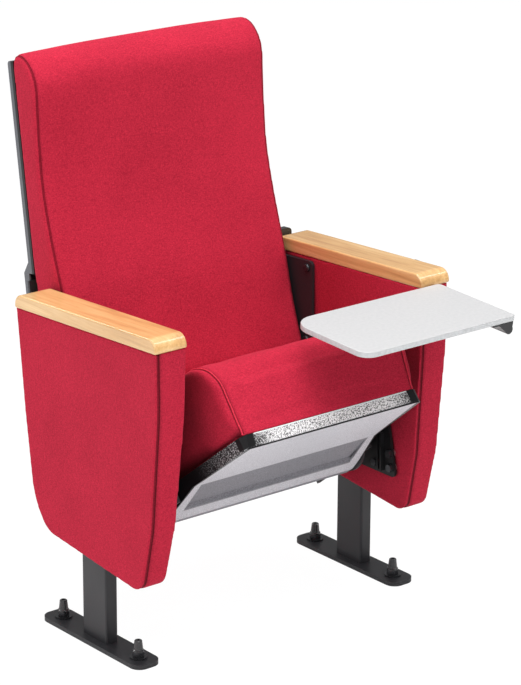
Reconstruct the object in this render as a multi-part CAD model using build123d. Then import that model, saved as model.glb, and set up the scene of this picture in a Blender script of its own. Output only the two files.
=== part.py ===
from build123d import *
import math
import os

# Tip-up auditorium seat with two floor stands, a padded back, a tipping seat and a flip-up writing tablet.
# All lengths are in millimetres and all angles in degrees.
# X runs across the row of seats, Y runs backwards (the sitter looks towards -Y) and Z runs up.
# Left and right are as seen by someone standing in front of the seat: right is +X.
# The origin is on the floor, midway between the stands, at the middle of the anchor-hole pattern.

# --- stands -------------------------------------------------------------------------------------
STAND_CLEARANCE = 40.0         # from each side of the back to the middle of the stand
BASE_PLATE_WIDTH = 55.0
BASE_PLATE_LENGTH = 287.0
BASE_PLATE_THICKNESS = 8.0
BASE_PLATE_CORNER = 20.0
ANCHOR_PITCH = 220.0           # front to rear
ANCHOR_HOLE_DIAMETER = 11.0
ANCHOR_CLEARANCE = 0.2         # extra radius of the nut and cap bores over the hole
WASHER_DIAMETER = 31.0
WASHER_THICKNESS = 3.0
NUT_ACROSS_FLATS = 19.0
NUT_HEIGHT = 8.0
CAP_FOOT_DIAMETER = 20.0
CAP_FOOT_HEIGHT = 4.0
CAP_LOW_DIAMETER = 17.0
CAP_TOP_DIAMETER = 13.5
CAP_HEIGHT = 17.0              # taper above the cap's foot ring
CAP_ROOF = 3.0
CAP_DIMPLE_DIAMETER = 6.0
CAP_DIMPLE_DEPTH = 1.5
CAP_NUT_GAP = 0.3
POST_ACROSS = 25.0
POST_DEEP = 70.0
POST_WALL = 2.5
POST_CORNER = 4.0

# --- armrests -----------------------------------------------------------------------------------
ARM_WIDTH = 66.0
ARM_LENGTH = 402.0
ARM_THICKNESS = 25.0
ARM_FRONT_Y = -206.3
ARM_FRONT_TOP_Z = 611.3
ARM_TILT = 2.75                # the rear end is lower
ARM_FRONT_RADIUS = 20.0
ARM_REAR_RADIUS = 20.0
ARM_LOWER_RADIUS = 4.0
ARM_EDGE_RADIUS = 3.0
BEARER_WIDTH = 30.0
BEARER_LENGTH = 320.0
BEARER_THICKNESS = 5.0
BEARER_FRONT = 36.0            # from the front of the armrest
ARM_SCREW_DIAMETER = 6.0
ARM_SCREW_HEAD_DIAMETER = 12.0
ARM_SCREW_HEAD_HEIGHT = 3.5
ARM_SCREW_GRIP = 13.0          # length inside the wood
ARM_SCREW_SETBACKS = [60.0, 130.0, 290.0, 335.0]
END_BLOCK_WIDTH = 29.0         # moulded block behind the right armrest
END_BLOCK_SHIFT = 7.0          # of its outer side from the middle of the armrest
END_BLOCK_LENGTH = 14.0
END_BLOCK_RISE = 7.0           # above the top of the armrest
END_BLOCK_DROP = 22.0
END_BLOCK_RADIUS = 8.0
BORE_GAP = 0.1                 # extra radius of every screw hole

# --- upholstered side panels --------------------------------------------------------------------
# Outline seen from the side: corner (Y, Z) and the radius of that corner. The top is cut by the armrest.
PANEL_OUTLINE = [
    ((-203.5, 640.0), 2.0),
    ((-205.5, 478.0), 500.0),
    ((-187.0, 270.0), 150.0),
    ((-158.5, 152.4), 15.0),
    ((115.0, 178.0), 45.0),
    ((151.0, 232.0), 90.0),
    ((172.0, 380.0), 600.0),
    ((200.0, 640.0), 2.0),
]
PANEL_OUTER_REACH = 30.5       # from the middle of the stand
PANEL_INNER_REACH = 19.0       # at the foot; the inner face leans in, to meet the armrest's edge
PANEL_FOOT_Z = 150.0
PANEL_EDGE_RADIUS = 6.0
CORE_INSET = 15.0
CORE_HEADROOM = 12.0           # under the armrest, for the bearer and its screws
SLEEVE_DIAMETER = 14.0         # spacer sleeves that carry the brackets through the padding

# --- seat hinge ---------------------------------------------------------------------------------
PIVOT_Y = -58.6
PIVOT_Z = 268.3
TIP_ANGLE = 38.4               # slope of the seat pan when the seat is up, rear edge low
SEAT_RAKE = 5.0                # slope of the seat pan when the seat is down, rear edge low
BRACKET_STANDOFF = 25.5        # of the hinge brackets' mounting face from the middle of the stand
BRACKET_THICKNESS = 5.0
BRACKET_HALF_FOOT = 87.5
BRACKET_HALF_TOP = 58.0
BRACKET_FOOT_Z = 215.0
BRACKET_TOP_Z = 350.0
BRACKET_CORNER = 8.0
BRACKET_BOSS_DIAMETER = 34.0
BRACKET_RIB_THICKNESS = 4.0
BRACKET_RIB_HEIGHT = 9.0
RIB_OFFSETS = [48.0, 57.0]     # of the upright ribs from the pivot, both ways
RIB_SLANT = 3.5                # how far the ribs lean in towards the top, like the plate's edges
PIVOT_PIN_DIAMETER = 16.0
RUNNING_GAP = 0.05             # radial, between the pin and the bush
BUSH_WALL = 2.0
BUSH_FLANGE = 1.0
HINGE_END_PLAY = 0.4
STOP_RADIUS = 38.0             # of the stop stud from the pivot
STOP_STUD_DIAMETER = 8.0
STOP_SLEEVE_DIAMETER = 12.0
STOP_SLOT_GAP = 0.5            # on each side of the sleeve
STOP_END_GAP = 0.3             # left between the sleeve and each end of its slot
STOP_STUD_ANGLE = 90.0         # straight above the pivot
HUB_RADIUS = 52.0
SEAT_ARM_THICKNESS = 6.0
HINGE_BOLT_DIAMETER = 8.0
HINGE_BOLT_FLATS = 13.0
HINGE_BOLT_HEAD = 5.0
HINGE_BOLT_WASHER_DIAMETER = 15.0
HINGE_BOLT_WASHER = 1.5
# Bolt centres: distance from the pivot along Y, on both sides, and height.
HINGE_BOLTS = [(74.5, 232.0), (72.0, 258.0), (33.5, 232.0), (37.0, 334.0)]

# --- seat, in its own frame: origin on the pivot axis, Y to the rear and Z up when the pan lies level --
PAN_LENGTH = 405.0
PIVOT_FROM_FRONT = 270.0
PAN_FRONT_HALF = 184.5
PAN_CORNER_CUT_X = 10.0
PAN_CORNER_CUT_Y = 8.0
PAN_REAR_HALF = 211.5
PAN_FLARE_LENGTH = 250.0
PAN_FRONT_DEPTH = 24.0
PAN_FRONT_RAKE = 3.0           # how far the lower edge of the front band sits behind the upper
PAN_FLAT_LENGTH = 168.0
PAN_BELLY_START = 272.0
PAN_BELLY_END = 294.0
PAN_BELLY_DEPTH = 48.5
PAN_REAR_DEPTH = 20.0
PAN_WALL = 4.0
PAN_EDGE_RADIUS = 1.2
RECESS_SIDE = 23.0             # width of the flat strip left beside the underside recess
RECESS_REAR = 243.0
RECESS_DEPTH = 8.0
BOSS_DIAMETER = 16.0
BOARD_THICKNESS = 10.0
BOARD_GAP = 0.5
BOARD_SCREW_DIAMETER = 5.0
BOARD_SCREW_HEAD = 10.0
BOARD_SCREW_HEAD_HEIGHT = 2.5
BOARD_SCREW_LENGTH = 22.0
BOARD_SCREW_ROWS = [60.0, 150.0, 240.0]
BOARD_SCREW_X = 120.0
SEAT_SEAM_HALF = 185.0
SEAT_SEAM_LEAN = 0.10          # outward lean of the side seam, per unit of height
SEAT_SEAM_FLARE = 0.035        # and per unit of length to the rear
SEAT_SIDE_BULGE = 9.0          # how far the side panels stand outside the seams
SEAT_SIDE_INSET = 10.0
SEAT_CROWN = 6.0
SEAT_CUSHION_HEIGHT = 143.0
SEAT_CUSHION_REAR_HEIGHT = 112.0
SEAT_NOSE_BULGE = 8.0
SOFT_GAP = 0.3
ARM_PLATE_FRONT = 62.0         # reach of the seat arm's foot, ahead of the pivot
ARM_PLATE_REAR = 118.0
ARM_PLATE_LOW = 34.0
ARM_PLATE_HIGH = 6.0
SEAT_ARM_SCREWS = [-48.0, 40.0, 100.0]
SEAT_ARM_SCREW_DIAMETER = 6.0
SEAT_ARM_SCREW_HEAD = 11.0
SEAT_ARM_SCREW_HEAD_HEIGHT = 1.6
WEIGHT_LENGTH = 396.0
WEIGHT_FRONT = 330.0           # from the front of the pan
WEIGHT_END_GAP = 1.0

# --- back, in its own frame: origin at its foot, Y square to the board and Z up along it ---------
BACK_FOOT_Y = 207.4
BACK_FOOT_Z = 392.0
BACK_RECLINE = 8.2
BACK_WIDTH = 500.0
BACK_SEAM_INSET = 8.0
BACK_SIDE_INSET = 15.0
BACK_SEAM_DROP = 8.0           # the side seams lie this much behind the crown of the cushion
BACK_HEIGHT = 598.0
BACK_FOOT_DEPTH = 112.0        # depths of the cushion's front, measured from the board
BACK_FOOT_RISE = 8.0
BACK_LUMBAR_DEPTH = 94.0
BACK_LUMBAR_RISE = 98.0
BACK_WAIST_DEPTH = 75.5
BACK_SPINE_DEPTH = 56.5
BACK_NECK_DEPTH = 47.5
BACK_NAPE_DEPTH = 51.5
BACK_HEAD_DEPTH = 57.0
BACK_BROW_DEPTH = 42.0
BACK_BROW_DROP = 14.0          # under the top of the cushion
BACK_TOP_EDGE = 2.0
BACK_TOP_DROP = 6.0
BACK_HEEL_DEPTH = 92.0
BACK_HEEL_DROP = 8.0           # under the foot of the board
BACK_TOE_DEPTH = 106.0
BACK_TOE_DROP = 4.0
SHELL_DEPTH = 16.0
SHELL_WALL = 3.5
SHELL_HEIGHT = 586.0
SHELL_STEP_LOW = 212.0
SHELL_STEP_HIGH = 232.0
SHELL_STEP_DEPTH = 16.0
SHELL_CORNER = 26.0
SHELL_EDGE = 6.0
BACK_BOARD_THICKNESS = 12.0
BACK_BOARD_MARGIN = 14.0
SHELL_SCREW_DIAMETER = 5.0
SHELL_SCREW_HEAD = 10.0
SHELL_SCREW_HEAD_HEIGHT = 2.0
SHELL_SCREW_HEIGHTS = [290.0, 420.0, 550.0]
SHELL_SCREW_X = 190.0
BACK_BRACKET_THICKNESS = 6.0
BACK_SIDE_GAP = 1.5            # between the back and the plates of its brackets
BACK_BRACKET_FRONT_Y = 82.0
BACK_BRACKET_TOP_Z = 567.0
BACK_BRACKET_FOOT_Z = 402.0
BACK_BRACKET_TOP_SLOPE = 3.5   # falling to the rear, like the armrest
BACK_BRACKET_CORNER = 9.0
BACK_FLANGE_WIDTH = 34.0
BACK_FLANGE_THICKNESS = 5.0
BACK_SCREW_DIAMETER = 8.0
BACK_SCREW_HEAD = 15.0
BACK_SCREW_HEAD_HEIGHT = 4.5
BACK_SCREW_SETBACK = 14.0
FLANGE_SCREW_DIAMETER = 6.0
FLANGE_SCREW_HEAD = 12.0
FLANGE_SCREW_HEAD_HEIGHT = 3.0
FLANGE_SCREW_HEIGHTS = [50.0, 150.0]

# --- writing tablet -----------------------------------------------------------------------------
TABLET_PIVOT_Y = -140.0
TABLET_PIVOT_Z = 582.0
TABLET_PLATE_THICKNESS = 4.0
TABLET_PLATE_LENGTH = 64.0
TABLET_PLATE_HEIGHT = 46.0
TABLET_PLATE_CORNER = 6.0
TABLET_PLATE_SCREW_DIAMETER = 5.0
TABLET_PLATE_SCREW_HEAD = 9.0
TABLET_PLATE_SCREW_HEAD_HEIGHT = 2.0
TABLET_PLATE_SCREW_GRIP = 20.0
TABLET_PLATE_SCREW_SPREAD = 24.0
TABLET_PLATE_SCREW_RISE = 16.0
TABLET_PIN_DIAMETER = 12.0
TABLET_ARM_THICKNESS = 5.0
TABLET_ARM_GAP = 0.3
TABLET_HUB_RADIUS = 15.0
TABLET_NUT_FLATS = 17.0
TABLET_NUT_HEIGHT = 7.0
TABLET_ROD_DIAMETER = 10.0
TABLET_ROD_BEND = 12.0
TABLET_ARM_TIP_RADIUS = 8.0
TABLET_ROD_START = 8.0         # of the rod's cross part from the tablet's rear edge
TABLET_ROD_DIP = 21.0          # of that cross part under the hinge axis, clear of the upturned tablet
TABLET_TILT = 2.4              # the front edge is lower
TABLET_OUTER_REACH = 4.5       # of the outer edge beyond the middle of the stand
TABLET_WIDTH = 338.5
TABLET_DEPTH = 194.5
TABLET_THICKNESS = 10.0
TABLET_REAR_Y = -211.6
TABLET_REAR_TOP_Z = 591.0
TABLET_INNER_REAR_RADIUS = 45.0
TABLET_INNER_FRONT_RADIUS = 25.0
TABLET_OUTER_RADIUS = 8.0
TABLET_EDGE = 1.5
HINGE_BAR_KNUCKLE_RADIUS = 8.0
HINGE_BAR_FLANGE = 36.0
HINGE_BAR_FLAT = 12.0          # level part of the flange, under the screw heads
HINGE_BAR_FLANGE_THICKNESS = 2.5
HINGE_BAR_REAR_SETBACK = 38.0
HINGE_BAR_END_WALL = 6.0
HINGE_ROD_DROP = 24.0          # of the hinge rod's axis under the tablet's top face
HINGE_ROD_INSET = 14.5         # of the rod's axis from the tablet's outer edge
TABLET_SCREW_DIAMETER = 4.0
TABLET_SCREW_HEAD = 8.0
TABLET_SCREW_HEAD_HEIGHT = 1.6
TABLET_SCREW_GRIP = 7.0
TABLET_SCREW_COUNT = 4

# --- derived places -----------------------------------------------------------------------------
STAND_X = BACK_WIDTH / 2 + STAND_CLEARANCE
ARM_INNER_X = STAND_X - ARM_WIDTH / 2
CORE_INNER_X = STAND_X - POST_ACROSS / 2
ARMREST_FRAME = Location((0, ARM_FRONT_Y, ARM_FRONT_TOP_Z), (-ARM_TILT, 0, 0))
SEAT_FRAME = Location((0, PIVOT_Y, PIVOT_Z), (-TIP_ANGLE, 0, 0))
BACK_FRAME = Location((0, BACK_FOOT_Y, BACK_FOOT_Z), (-BACK_RECLINE, 0, 0))
TABLET_FRAME = Location((0, TABLET_REAR_Y, TABLET_REAR_TOP_Z), (TABLET_TILT, 0, 0))
SEAT_TRAVEL = TIP_ANGLE - SEAT_RAKE
PANEL_OUTER_X = STAND_X + PANEL_OUTER_REACH
PANEL_INNER_FOOT_X = STAND_X - PANEL_INNER_REACH
BRACKET_BACK_X = STAND_X - BRACKET_STANDOFF
BRACKET_FACE_X = BRACKET_BACK_X - BRACKET_THICKNESS
BACK_BRACKET_BACK_X = BACK_WIDTH / 2 + BACK_SIDE_GAP + BACK_BRACKET_THICKNESS
TABLET_OUTER_X = STAND_X + TABLET_OUTER_REACH
SEAT_ARM_OUTER_X = PAN_REAR_HALF + SEAT_ARM_THICKNESS
BOSS_END_X = SEAT_ARM_OUTER_X + BUSH_FLANGE + HINGE_END_PLAY
TABLET_PLATE_X = STAND_X + ARM_WIDTH / 2
TABLET_ARM_X = TABLET_PLATE_X + TABLET_PLATE_THICKNESS + TABLET_ARM_GAP
TABLET_ROD_X = TABLET_OUTER_X - HINGE_ROD_INSET


def side_plane(x):
    """A drawing plane square to X, in which points are given as (Y, Z)."""
    return Plane.YZ.offset(x)


def slab_yz(face, x_low, x_high):
    """A flat face drawn as (Y, Z), given thickness between two X values."""
    return extrude(side_plane(x_low) * face, x_high - x_low)


def rod_x(diameter, x_low, x_high, y, z):
    """A round bar along X."""
    return slab_yz(Pos(y, z) * Circle(diameter / 2), x_low, x_high)


def outline(corners):
    """A closed face from (point, corner radius) pairs."""
    points = [point for point, radius in corners]
    radii = [radius for point, radius in corners]
    return make_face(FilletPolyline(*points, radius=radii, close=True))


def both_sides(part):
    """A right-hand piece together with its left-hand mirror image."""
    return part, mirror(part, about=Plane.YZ)


def write(name, part):
    """Writes one named piece."""
    export_step(part, f"parts/{name}.step")


# --- stands -------------------------------------------------------------------------------------
def anchor_places():
    """The four floor fixings, on top of the floor."""
    return [(x, y) for x in (-STAND_X, STAND_X) for y in (-ANCHOR_PITCH / 2, ANCHOR_PITCH / 2)]


def base_plate():
    """Steel foot plate with rounded corners and two anchor holes."""
    plate = extrude(RectangleRounded(BASE_PLATE_WIDTH, BASE_PLATE_LENGTH, BASE_PLATE_CORNER), BASE_PLATE_THICKNESS)
    hole = extrude(Circle(ANCHOR_HOLE_DIAMETER / 2), BASE_PLATE_THICKNESS)
    for y in (-ANCHOR_PITCH / 2, ANCHOR_PITCH / 2):
        plate -= Pos(0, y, 0) * hole
    return Pos(STAND_X, 0, 0) * plate


def armrest_underside_cut():
    """Everything above the underside of the right armrest's bearer."""
    block = Box(2 * ARM_WIDTH, 2 * ARM_LENGTH, ARM_LENGTH, align=(Align.CENTER, Align.CENTER, Align.MIN))
    return Pos(STAND_X, 0, 0) * (ARMREST_FRAME * (Pos(0, ARM_LENGTH / 2, -ARM_THICKNESS) * block))


def post():
    """Rectangular steel tube from the foot plate up to the armrest's bearer, cut to the armrest's slope."""
    outer = RectangleRounded(POST_ACROSS, POST_DEEP, POST_CORNER)
    inner = RectangleRounded(POST_ACROSS - 2 * POST_WALL, POST_DEEP - 2 * POST_WALL, POST_CORNER - POST_WALL)
    tube = extrude(outer - inner, ARM_FRONT_TOP_Z)
    tube = Pos(STAND_X, 0, BASE_PLATE_THICKNESS) * tube
    lowered = Pos(0, 0, -BEARER_THICKNESS / math.cos(math.radians(ARM_TILT))) * armrest_underside_cut()
    tube -= lowered
    for y, z in hinge_bolt_places():
        if abs(y) < POST_DEEP / 2:
            tube -= rod_x(HINGE_BOLT_DIAMETER + 2 * BORE_GAP, ARM_INNER_X, STAND_X, y, z)
    return tube


def anchor_washers():
    """Flat washers on the foot plates."""
    ring = extrude(Circle(WASHER_DIAMETER / 2) - Circle(ANCHOR_HOLE_DIAMETER / 2 + ANCHOR_CLEARANCE), WASHER_THICKNESS)
    return [Pos(x, y, BASE_PLATE_THICKNESS) * ring for x, y in anchor_places()]


def anchor_nuts():
    """Hexagon nuts on the washers."""
    hexagon = RegularPolygon(NUT_ACROSS_FLATS / 2, 6, major_radius=False)
    nut = extrude(hexagon - Circle(ANCHOR_HOLE_DIAMETER / 2 + ANCHOR_CLEARANCE), NUT_HEIGHT)
    return [Pos(x, y, BASE_PLATE_THICKNESS + WASHER_THICKNESS) * nut for x, y in anchor_places()]


def anchor_caps():
    """Tapered plastic caps over the stud ends, with a ring at the foot and a dimple in the top."""
    low = CAP_FOOT_DIAMETER / 2
    side = CAP_LOW_DIAMETER / 2
    top = CAP_TOP_DIAMETER / 2
    height = CAP_FOOT_HEIGHT + CAP_HEIGHT
    bore = ANCHOR_HOLE_DIAMETER / 2 + ANCHOR_CLEARANCE
    dimple = CAP_DIMPLE_DIAMETER / 2
    section = Polyline(
        (bore, 0),
        (low, 0),
        (low, CAP_FOOT_HEIGHT - 1),
        (side, CAP_FOOT_HEIGHT),
        (top, height - 1),
        (top - 1, height),
        (dimple, height),
        (dimple, height - CAP_DIMPLE_DEPTH),
        (0, height - CAP_DIMPLE_DEPTH),
        (0, height - CAP_DIMPLE_DEPTH - CAP_ROOF),
        (bore, height - CAP_DIMPLE_DEPTH - CAP_ROOF),
        close=True,
    )
    cap = revolve(Plane.XZ * make_face(section), Axis.Z)
    seat = BASE_PLATE_THICKNESS + WASHER_THICKNESS + NUT_HEIGHT + CAP_NUT_GAP
    return [Pos(x, y, seat) * cap for x, y in anchor_places()]


# --- armrests -----------------------------------------------------------------------------------
def arm_screw_places():
    """Where the armrest's screws lie along it."""
    return ARM_SCREW_SETBACKS


def armrest():
    """Solid wood armrest with a rounded front and rear, blind-bored underneath for its screws."""
    side = outline([
        ((0, -ARM_THICKNESS), ARM_LOWER_RADIUS),
        ((0, 0), ARM_FRONT_RADIUS),
        ((ARM_LENGTH, 0), ARM_REAR_RADIUS),
        ((ARM_LENGTH, -ARM_THICKNESS), ARM_LOWER_RADIUS),
    ])
    block = slab_yz(side, -ARM_WIDTH / 2, ARM_WIDTH / 2)
    ends = block.faces().sort_by(Axis.X)
    block = fillet(ends[0].edges() + ends[-1].edges(), ARM_EDGE_RADIUS)
    bore = Cylinder(ARM_SCREW_DIAMETER / 2 + BORE_GAP, ARM_SCREW_GRIP + BORE_GAP)
    for y in arm_screw_places():
        block -= Pos(0, y, -ARM_THICKNESS + (ARM_SCREW_GRIP + BORE_GAP) / 2) * bore
    return Pos(STAND_X, 0, 0) * (ARMREST_FRAME * block)


def arm_bearer():
    """Flat steel bar on top of the post, under the armrest."""
    bar = Box(BEARER_WIDTH, BEARER_LENGTH, BEARER_THICKNESS, align=(Align.CENTER, Align.MIN, Align.MAX))
    bar = Pos(0, BEARER_FRONT, -ARM_THICKNESS) * bar
    bore = Cylinder(ARM_SCREW_DIAMETER / 2 + BORE_GAP, 3 * BEARER_THICKNESS)
    for y in arm_screw_places():
        bar -= Pos(0, y, -ARM_THICKNESS) * bore
    return Pos(STAND_X, 0, 0) * (ARMREST_FRAME * bar)


def arm_screws():
    """Screws through the bearer, up into the armrest."""
    shank_length = BEARER_THICKNESS + ARM_SCREW_GRIP
    head_z = -ARM_THICKNESS - BEARER_THICKNESS
    shank = Cylinder(ARM_SCREW_DIAMETER / 2, shank_length, align=(Align.CENTER, Align.CENTER, Align.MIN))
    head = Cylinder(ARM_SCREW_HEAD_DIAMETER / 2, ARM_SCREW_HEAD_HEIGHT, align=(Align.CENTER, Align.CENTER, Align.MAX))
    screw = Pos(0, 0, head_z) * (shank + head)
    return [Pos(x, 0, 0) * (ARMREST_FRAME * (Pos(0, y, 0) * screw))
            for x in (-STAND_X, STAND_X) for y in arm_screw_places()]


# --- side panels --------------------------------------------------------------------------------
def hinge_bolt_places():
    """Bolt centres of the seat hinge bracket, as (Y, Z)."""
    return [(PIVOT_Y + way * reach, z) for way in (-1, 1) for reach, z in HINGE_BOLTS]


def back_screw_places():
    """Screw centres of the back bracket in the stand, as (Y, Z)."""
    y = BACK_BRACKET_FRONT_Y + BACK_SCREW_SETBACK
    return [(y, BACK_BRACKET_TOP_Z - BACK_SCREW_SETBACK), (y, BACK_BRACKET_FOOT_Z + BACK_SCREW_SETBACK)]


def panel_inner_x(z):
    """X of the panel's leaning inner face at a height."""
    share = (z - PANEL_FOOT_Z) / (ARM_FRONT_TOP_Z - ARM_THICKNESS - PANEL_FOOT_Z)
    return PANEL_INNER_FOOT_X + share * (ARM_INNER_X - PANEL_INNER_FOOT_X)


def panel_block():
    """The full outer form of the right side panel, padded sides included."""
    head_z = ARM_FRONT_TOP_Z + ARM_THICKNESS
    side = slab_yz(outline(PANEL_OUTLINE), 0, PANEL_OUTER_X)
    front = make_face(Polyline(
        (panel_inner_x(PANEL_FOOT_Z), PANEL_FOOT_Z),
        (PANEL_OUTER_X, PANEL_FOOT_Z),
        (PANEL_OUTER_X, head_z),
        (panel_inner_x(head_z), head_z),
        close=True,
    ))
    across = extrude(Plane.XZ.offset(-ARM_LENGTH) * front, 2 * ARM_LENGTH)
    block = side & across
    faces = block.faces().sort_by(Axis.X)
    rims = faces[0].edges() + faces[-1].edges()
    edges = [edge for edge in rims if edge.center().Z < ARM_FRONT_TOP_Z]
    block = fillet(edges, PANEL_EDGE_RADIUS)
    return block - armrest_underside_cut()


def core_block():
    """The board inside the side panel, before its slot and holes."""
    return slab_yz(offset(outline(PANEL_OUTLINE), -CORE_INSET), CORE_INNER_X, STAND_X + POST_ACROSS / 2)


def bracket_fixing_places():
    """Every bolt and screw that goes into the inner side of a stand, as (Y, Z)."""
    return hinge_bolt_places() + back_screw_places()


def side_core():
    """Wooden board inside the side panel, slotted over the post."""
    board = core_block() - Pos(0, 0, -CORE_HEADROOM) * armrest_underside_cut()
    board -= Pos(STAND_X, 0, 0) * Box(2 * POST_ACROSS, POST_DEEP, 2 * ARM_FRONT_TOP_Z)
    for y, z in bracket_fixing_places():
        board -= rod_x(HINGE_BOLT_DIAMETER + 2 * BORE_GAP, CORE_INNER_X, STAND_X, y, z)
    return board


def side_cover():
    """Foam and fabric sleeve over the board, open at the top under the armrest and slotted for the post."""
    cover = panel_block() - core_block()
    cover -= Pos(STAND_X, 0, 0) * Box(POST_ACROSS, POST_DEEP, 2 * ARM_FRONT_TOP_Z)
    room = Box(BEARER_WIDTH + 2 * SOFT_GAP, BEARER_LENGTH + 2 * SOFT_GAP, 2 * CORE_HEADROOM,
               align=(Align.CENTER, Align.MIN, Align.CENTER))
    cover -= Pos(STAND_X, 0, 0) * (ARMREST_FRAME * (Pos(0, BEARER_FRONT - SOFT_GAP, -ARM_THICKNESS) * room))
    for y, z in bracket_fixing_places():
        cover -= rod_x(SLEEVE_DIAMETER + 2 * BORE_GAP, PAN_REAR_HALF, CORE_INNER_X, y, z)
    return cover


def spacer_sleeves(x_way):
    """Steel sleeves round the bracket fixings, from the brackets through the padding to the board and post."""
    sleeves = []
    for places, face in ((hinge_bolt_places(), BRACKET_BACK_X), (back_screw_places(), BACK_BRACKET_BACK_X)):
        for y, z in places:
            sleeve = rod_x(SLEEVE_DIAMETER, face, CORE_INNER_X, y, z)
            sleeve -= rod_x(HINGE_BOLT_DIAMETER + 2 * BORE_GAP, face, CORE_INNER_X, y, z)
            sleeves.append(sleeve if x_way > 0 else mirror(sleeve, about=Plane.YZ))
    return sleeves


# --- seat hinge on the stand --------------------------------------------------------------------
def bracket_rib(reach, way):
    """One upright rib of the hinge bracket, leaning like the edge of its plate."""
    half = BRACKET_RIB_THICKNESS / 2
    low = PIVOT_Y + way * reach
    high = PIVOT_Y + way * (reach - RIB_SLANT)
    margin = BRACKET_CORNER
    face = make_face(Polyline(
        (low - half, BRACKET_FOOT_Z + margin),
        (low + half, BRACKET_FOOT_Z + margin),
        (high + half, PIVOT_Z + HUB_RADIUS / 2),
        (high - half, PIVOT_Z + HUB_RADIUS / 2),
        close=True,
    ))
    return slab_yz(face, BRACKET_FACE_X - BRACKET_RIB_HEIGHT, BRACKET_FACE_X)


def hinge_bracket():
    """Ribbed steel bracket that carries the pivot pin and the stop stud."""
    plate = slab_yz(outline([
        ((PIVOT_Y - BRACKET_HALF_FOOT, BRACKET_FOOT_Z), BRACKET_CORNER),
        ((PIVOT_Y + BRACKET_HALF_FOOT, BRACKET_FOOT_Z), BRACKET_CORNER),
        ((PIVOT_Y + BRACKET_HALF_TOP, BRACKET_TOP_Z), BRACKET_CORNER),
        ((PIVOT_Y - BRACKET_HALF_TOP, BRACKET_TOP_Z), BRACKET_CORNER),
    ]), BRACKET_FACE_X, BRACKET_BACK_X)
    body = plate + rod_x(BRACKET_BOSS_DIAMETER, BOSS_END_X, BRACKET_FACE_X, PIVOT_Y, PIVOT_Z)
    for way in (-1, 1):
        for reach in RIB_OFFSETS:
            body += bracket_rib(reach, way)
    body -= rod_x(PIVOT_PIN_DIAMETER, BOSS_END_X, BRACKET_BACK_X, PIVOT_Y, PIVOT_Z)
    stud_y, stud_z = stop_place()
    body -= rod_x(STOP_STUD_DIAMETER, BRACKET_FACE_X, BRACKET_BACK_X, stud_y, stud_z)
    for y, z in hinge_bolt_places():
        body -= rod_x(HINGE_BOLT_DIAMETER + 2 * BORE_GAP, BRACKET_FACE_X, BRACKET_BACK_X, y, z)
    return body


def stop_place():
    """Centre of the stop stud, as (Y, Z)."""
    angle = math.radians(STOP_STUD_ANGLE)
    return PIVOT_Y + STOP_RADIUS * math.cos(angle), PIVOT_Z + STOP_RADIUS * math.sin(angle)


def pivot_pin():
    """Steel pin pressed through the bracket's boss; the seat swings on its free end."""
    return rod_x(PIVOT_PIN_DIAMETER, PAN_REAR_HALF + HINGE_END_PLAY, BRACKET_BACK_X, PIVOT_Y, PIVOT_Z)


def stop_stud():
    """Steel stud on the bracket that ends the seat's travel both ways."""
    y, z = stop_place()
    return rod_x(STOP_STUD_DIAMETER, PAN_REAR_HALF + HINGE_END_PLAY, BRACKET_BACK_X, y, z)


def stop_sleeve():
    """Rubber sleeve on the stop stud."""
    y, z = stop_place()
    sleeve = rod_x(STOP_SLEEVE_DIAMETER, PAN_REAR_HALF + HINGE_END_PLAY, BOSS_END_X + HINGE_BOLT_HEAD, y, z)
    return sleeve - stop_stud()


def hinge_bolts(x_way):
    """Hexagon-head bolts with washers, through the hinge bracket into the stand."""
    shank_end = CORE_INNER_X + POST_WALL
    bolts = []
    for y, z in hinge_bolt_places():
        washer_x = BRACKET_FACE_X - HINGE_BOLT_WASHER
        hexagon = Pos(y, z) * RegularPolygon(HINGE_BOLT_FLATS / 2, 6, major_radius=False)
        bolt = rod_x(HINGE_BOLT_DIAMETER, washer_x, shank_end, y, z)
        bolt += slab_yz(hexagon, washer_x - HINGE_BOLT_HEAD, washer_x)
        bolt += rod_x(HINGE_BOLT_WASHER_DIAMETER, washer_x, BRACKET_FACE_X, y, z)
        bolts.append(bolt if x_way > 0 else mirror(bolt, about=Plane.YZ))
    return bolts


# --- seat ---------------------------------------------------------------------------------------
def seat_y(from_front):
    """Place along the seat, measured from the front of the pan."""
    return from_front - PIVOT_FROM_FRONT


def pan_plan(inset):
    """Plan of the pan: cut front corners, flared sides, square rear; inset all round."""
    front = PAN_FRONT_HALF - inset
    cut = front + PAN_CORNER_CUT_X
    rear = PAN_REAR_HALF - inset
    y0 = seat_y(inset)
    y1 = seat_y(inset + PAN_CORNER_CUT_Y)
    y2 = seat_y(PAN_FLARE_LENGTH)
    y3 = seat_y(PAN_LENGTH - inset)
    right = [(front, y0), (cut, y1), (rear, y2), (rear, y3)]
    left = [(-x, y) for x, y in reversed(right)]
    return make_face(Polyline(*right, *left, close=True))


def pan_underside_depth(from_front):
    """Depth of the pan's underside on the straight slope behind its flat front part."""
    share = (from_front - PAN_FLAT_LENGTH) / (PAN_BELLY_START - PAN_FLAT_LENGTH)
    return PAN_FRONT_DEPTH + share * (PAN_BELLY_DEPTH - PAN_FRONT_DEPTH)


def pan_side_profile(wall):
    """Side profile of the pan's underside, moved inwards by a wall thickness, up to the rim."""
    return make_face(Polyline(
        (seat_y(wall), 0),
        (seat_y(PAN_FRONT_RAKE + wall), -PAN_FRONT_DEPTH + wall),
        (seat_y(PAN_FLAT_LENGTH), -PAN_FRONT_DEPTH + wall),
        (seat_y(PAN_BELLY_START), -PAN_BELLY_DEPTH + wall),
        (seat_y(PAN_BELLY_END), -PAN_BELLY_DEPTH + wall),
        (seat_y(PAN_LENGTH - wall), -PAN_REAR_DEPTH + wall),
        (seat_y(PAN_LENGTH - wall), 0),
        close=True,
    ))


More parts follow.
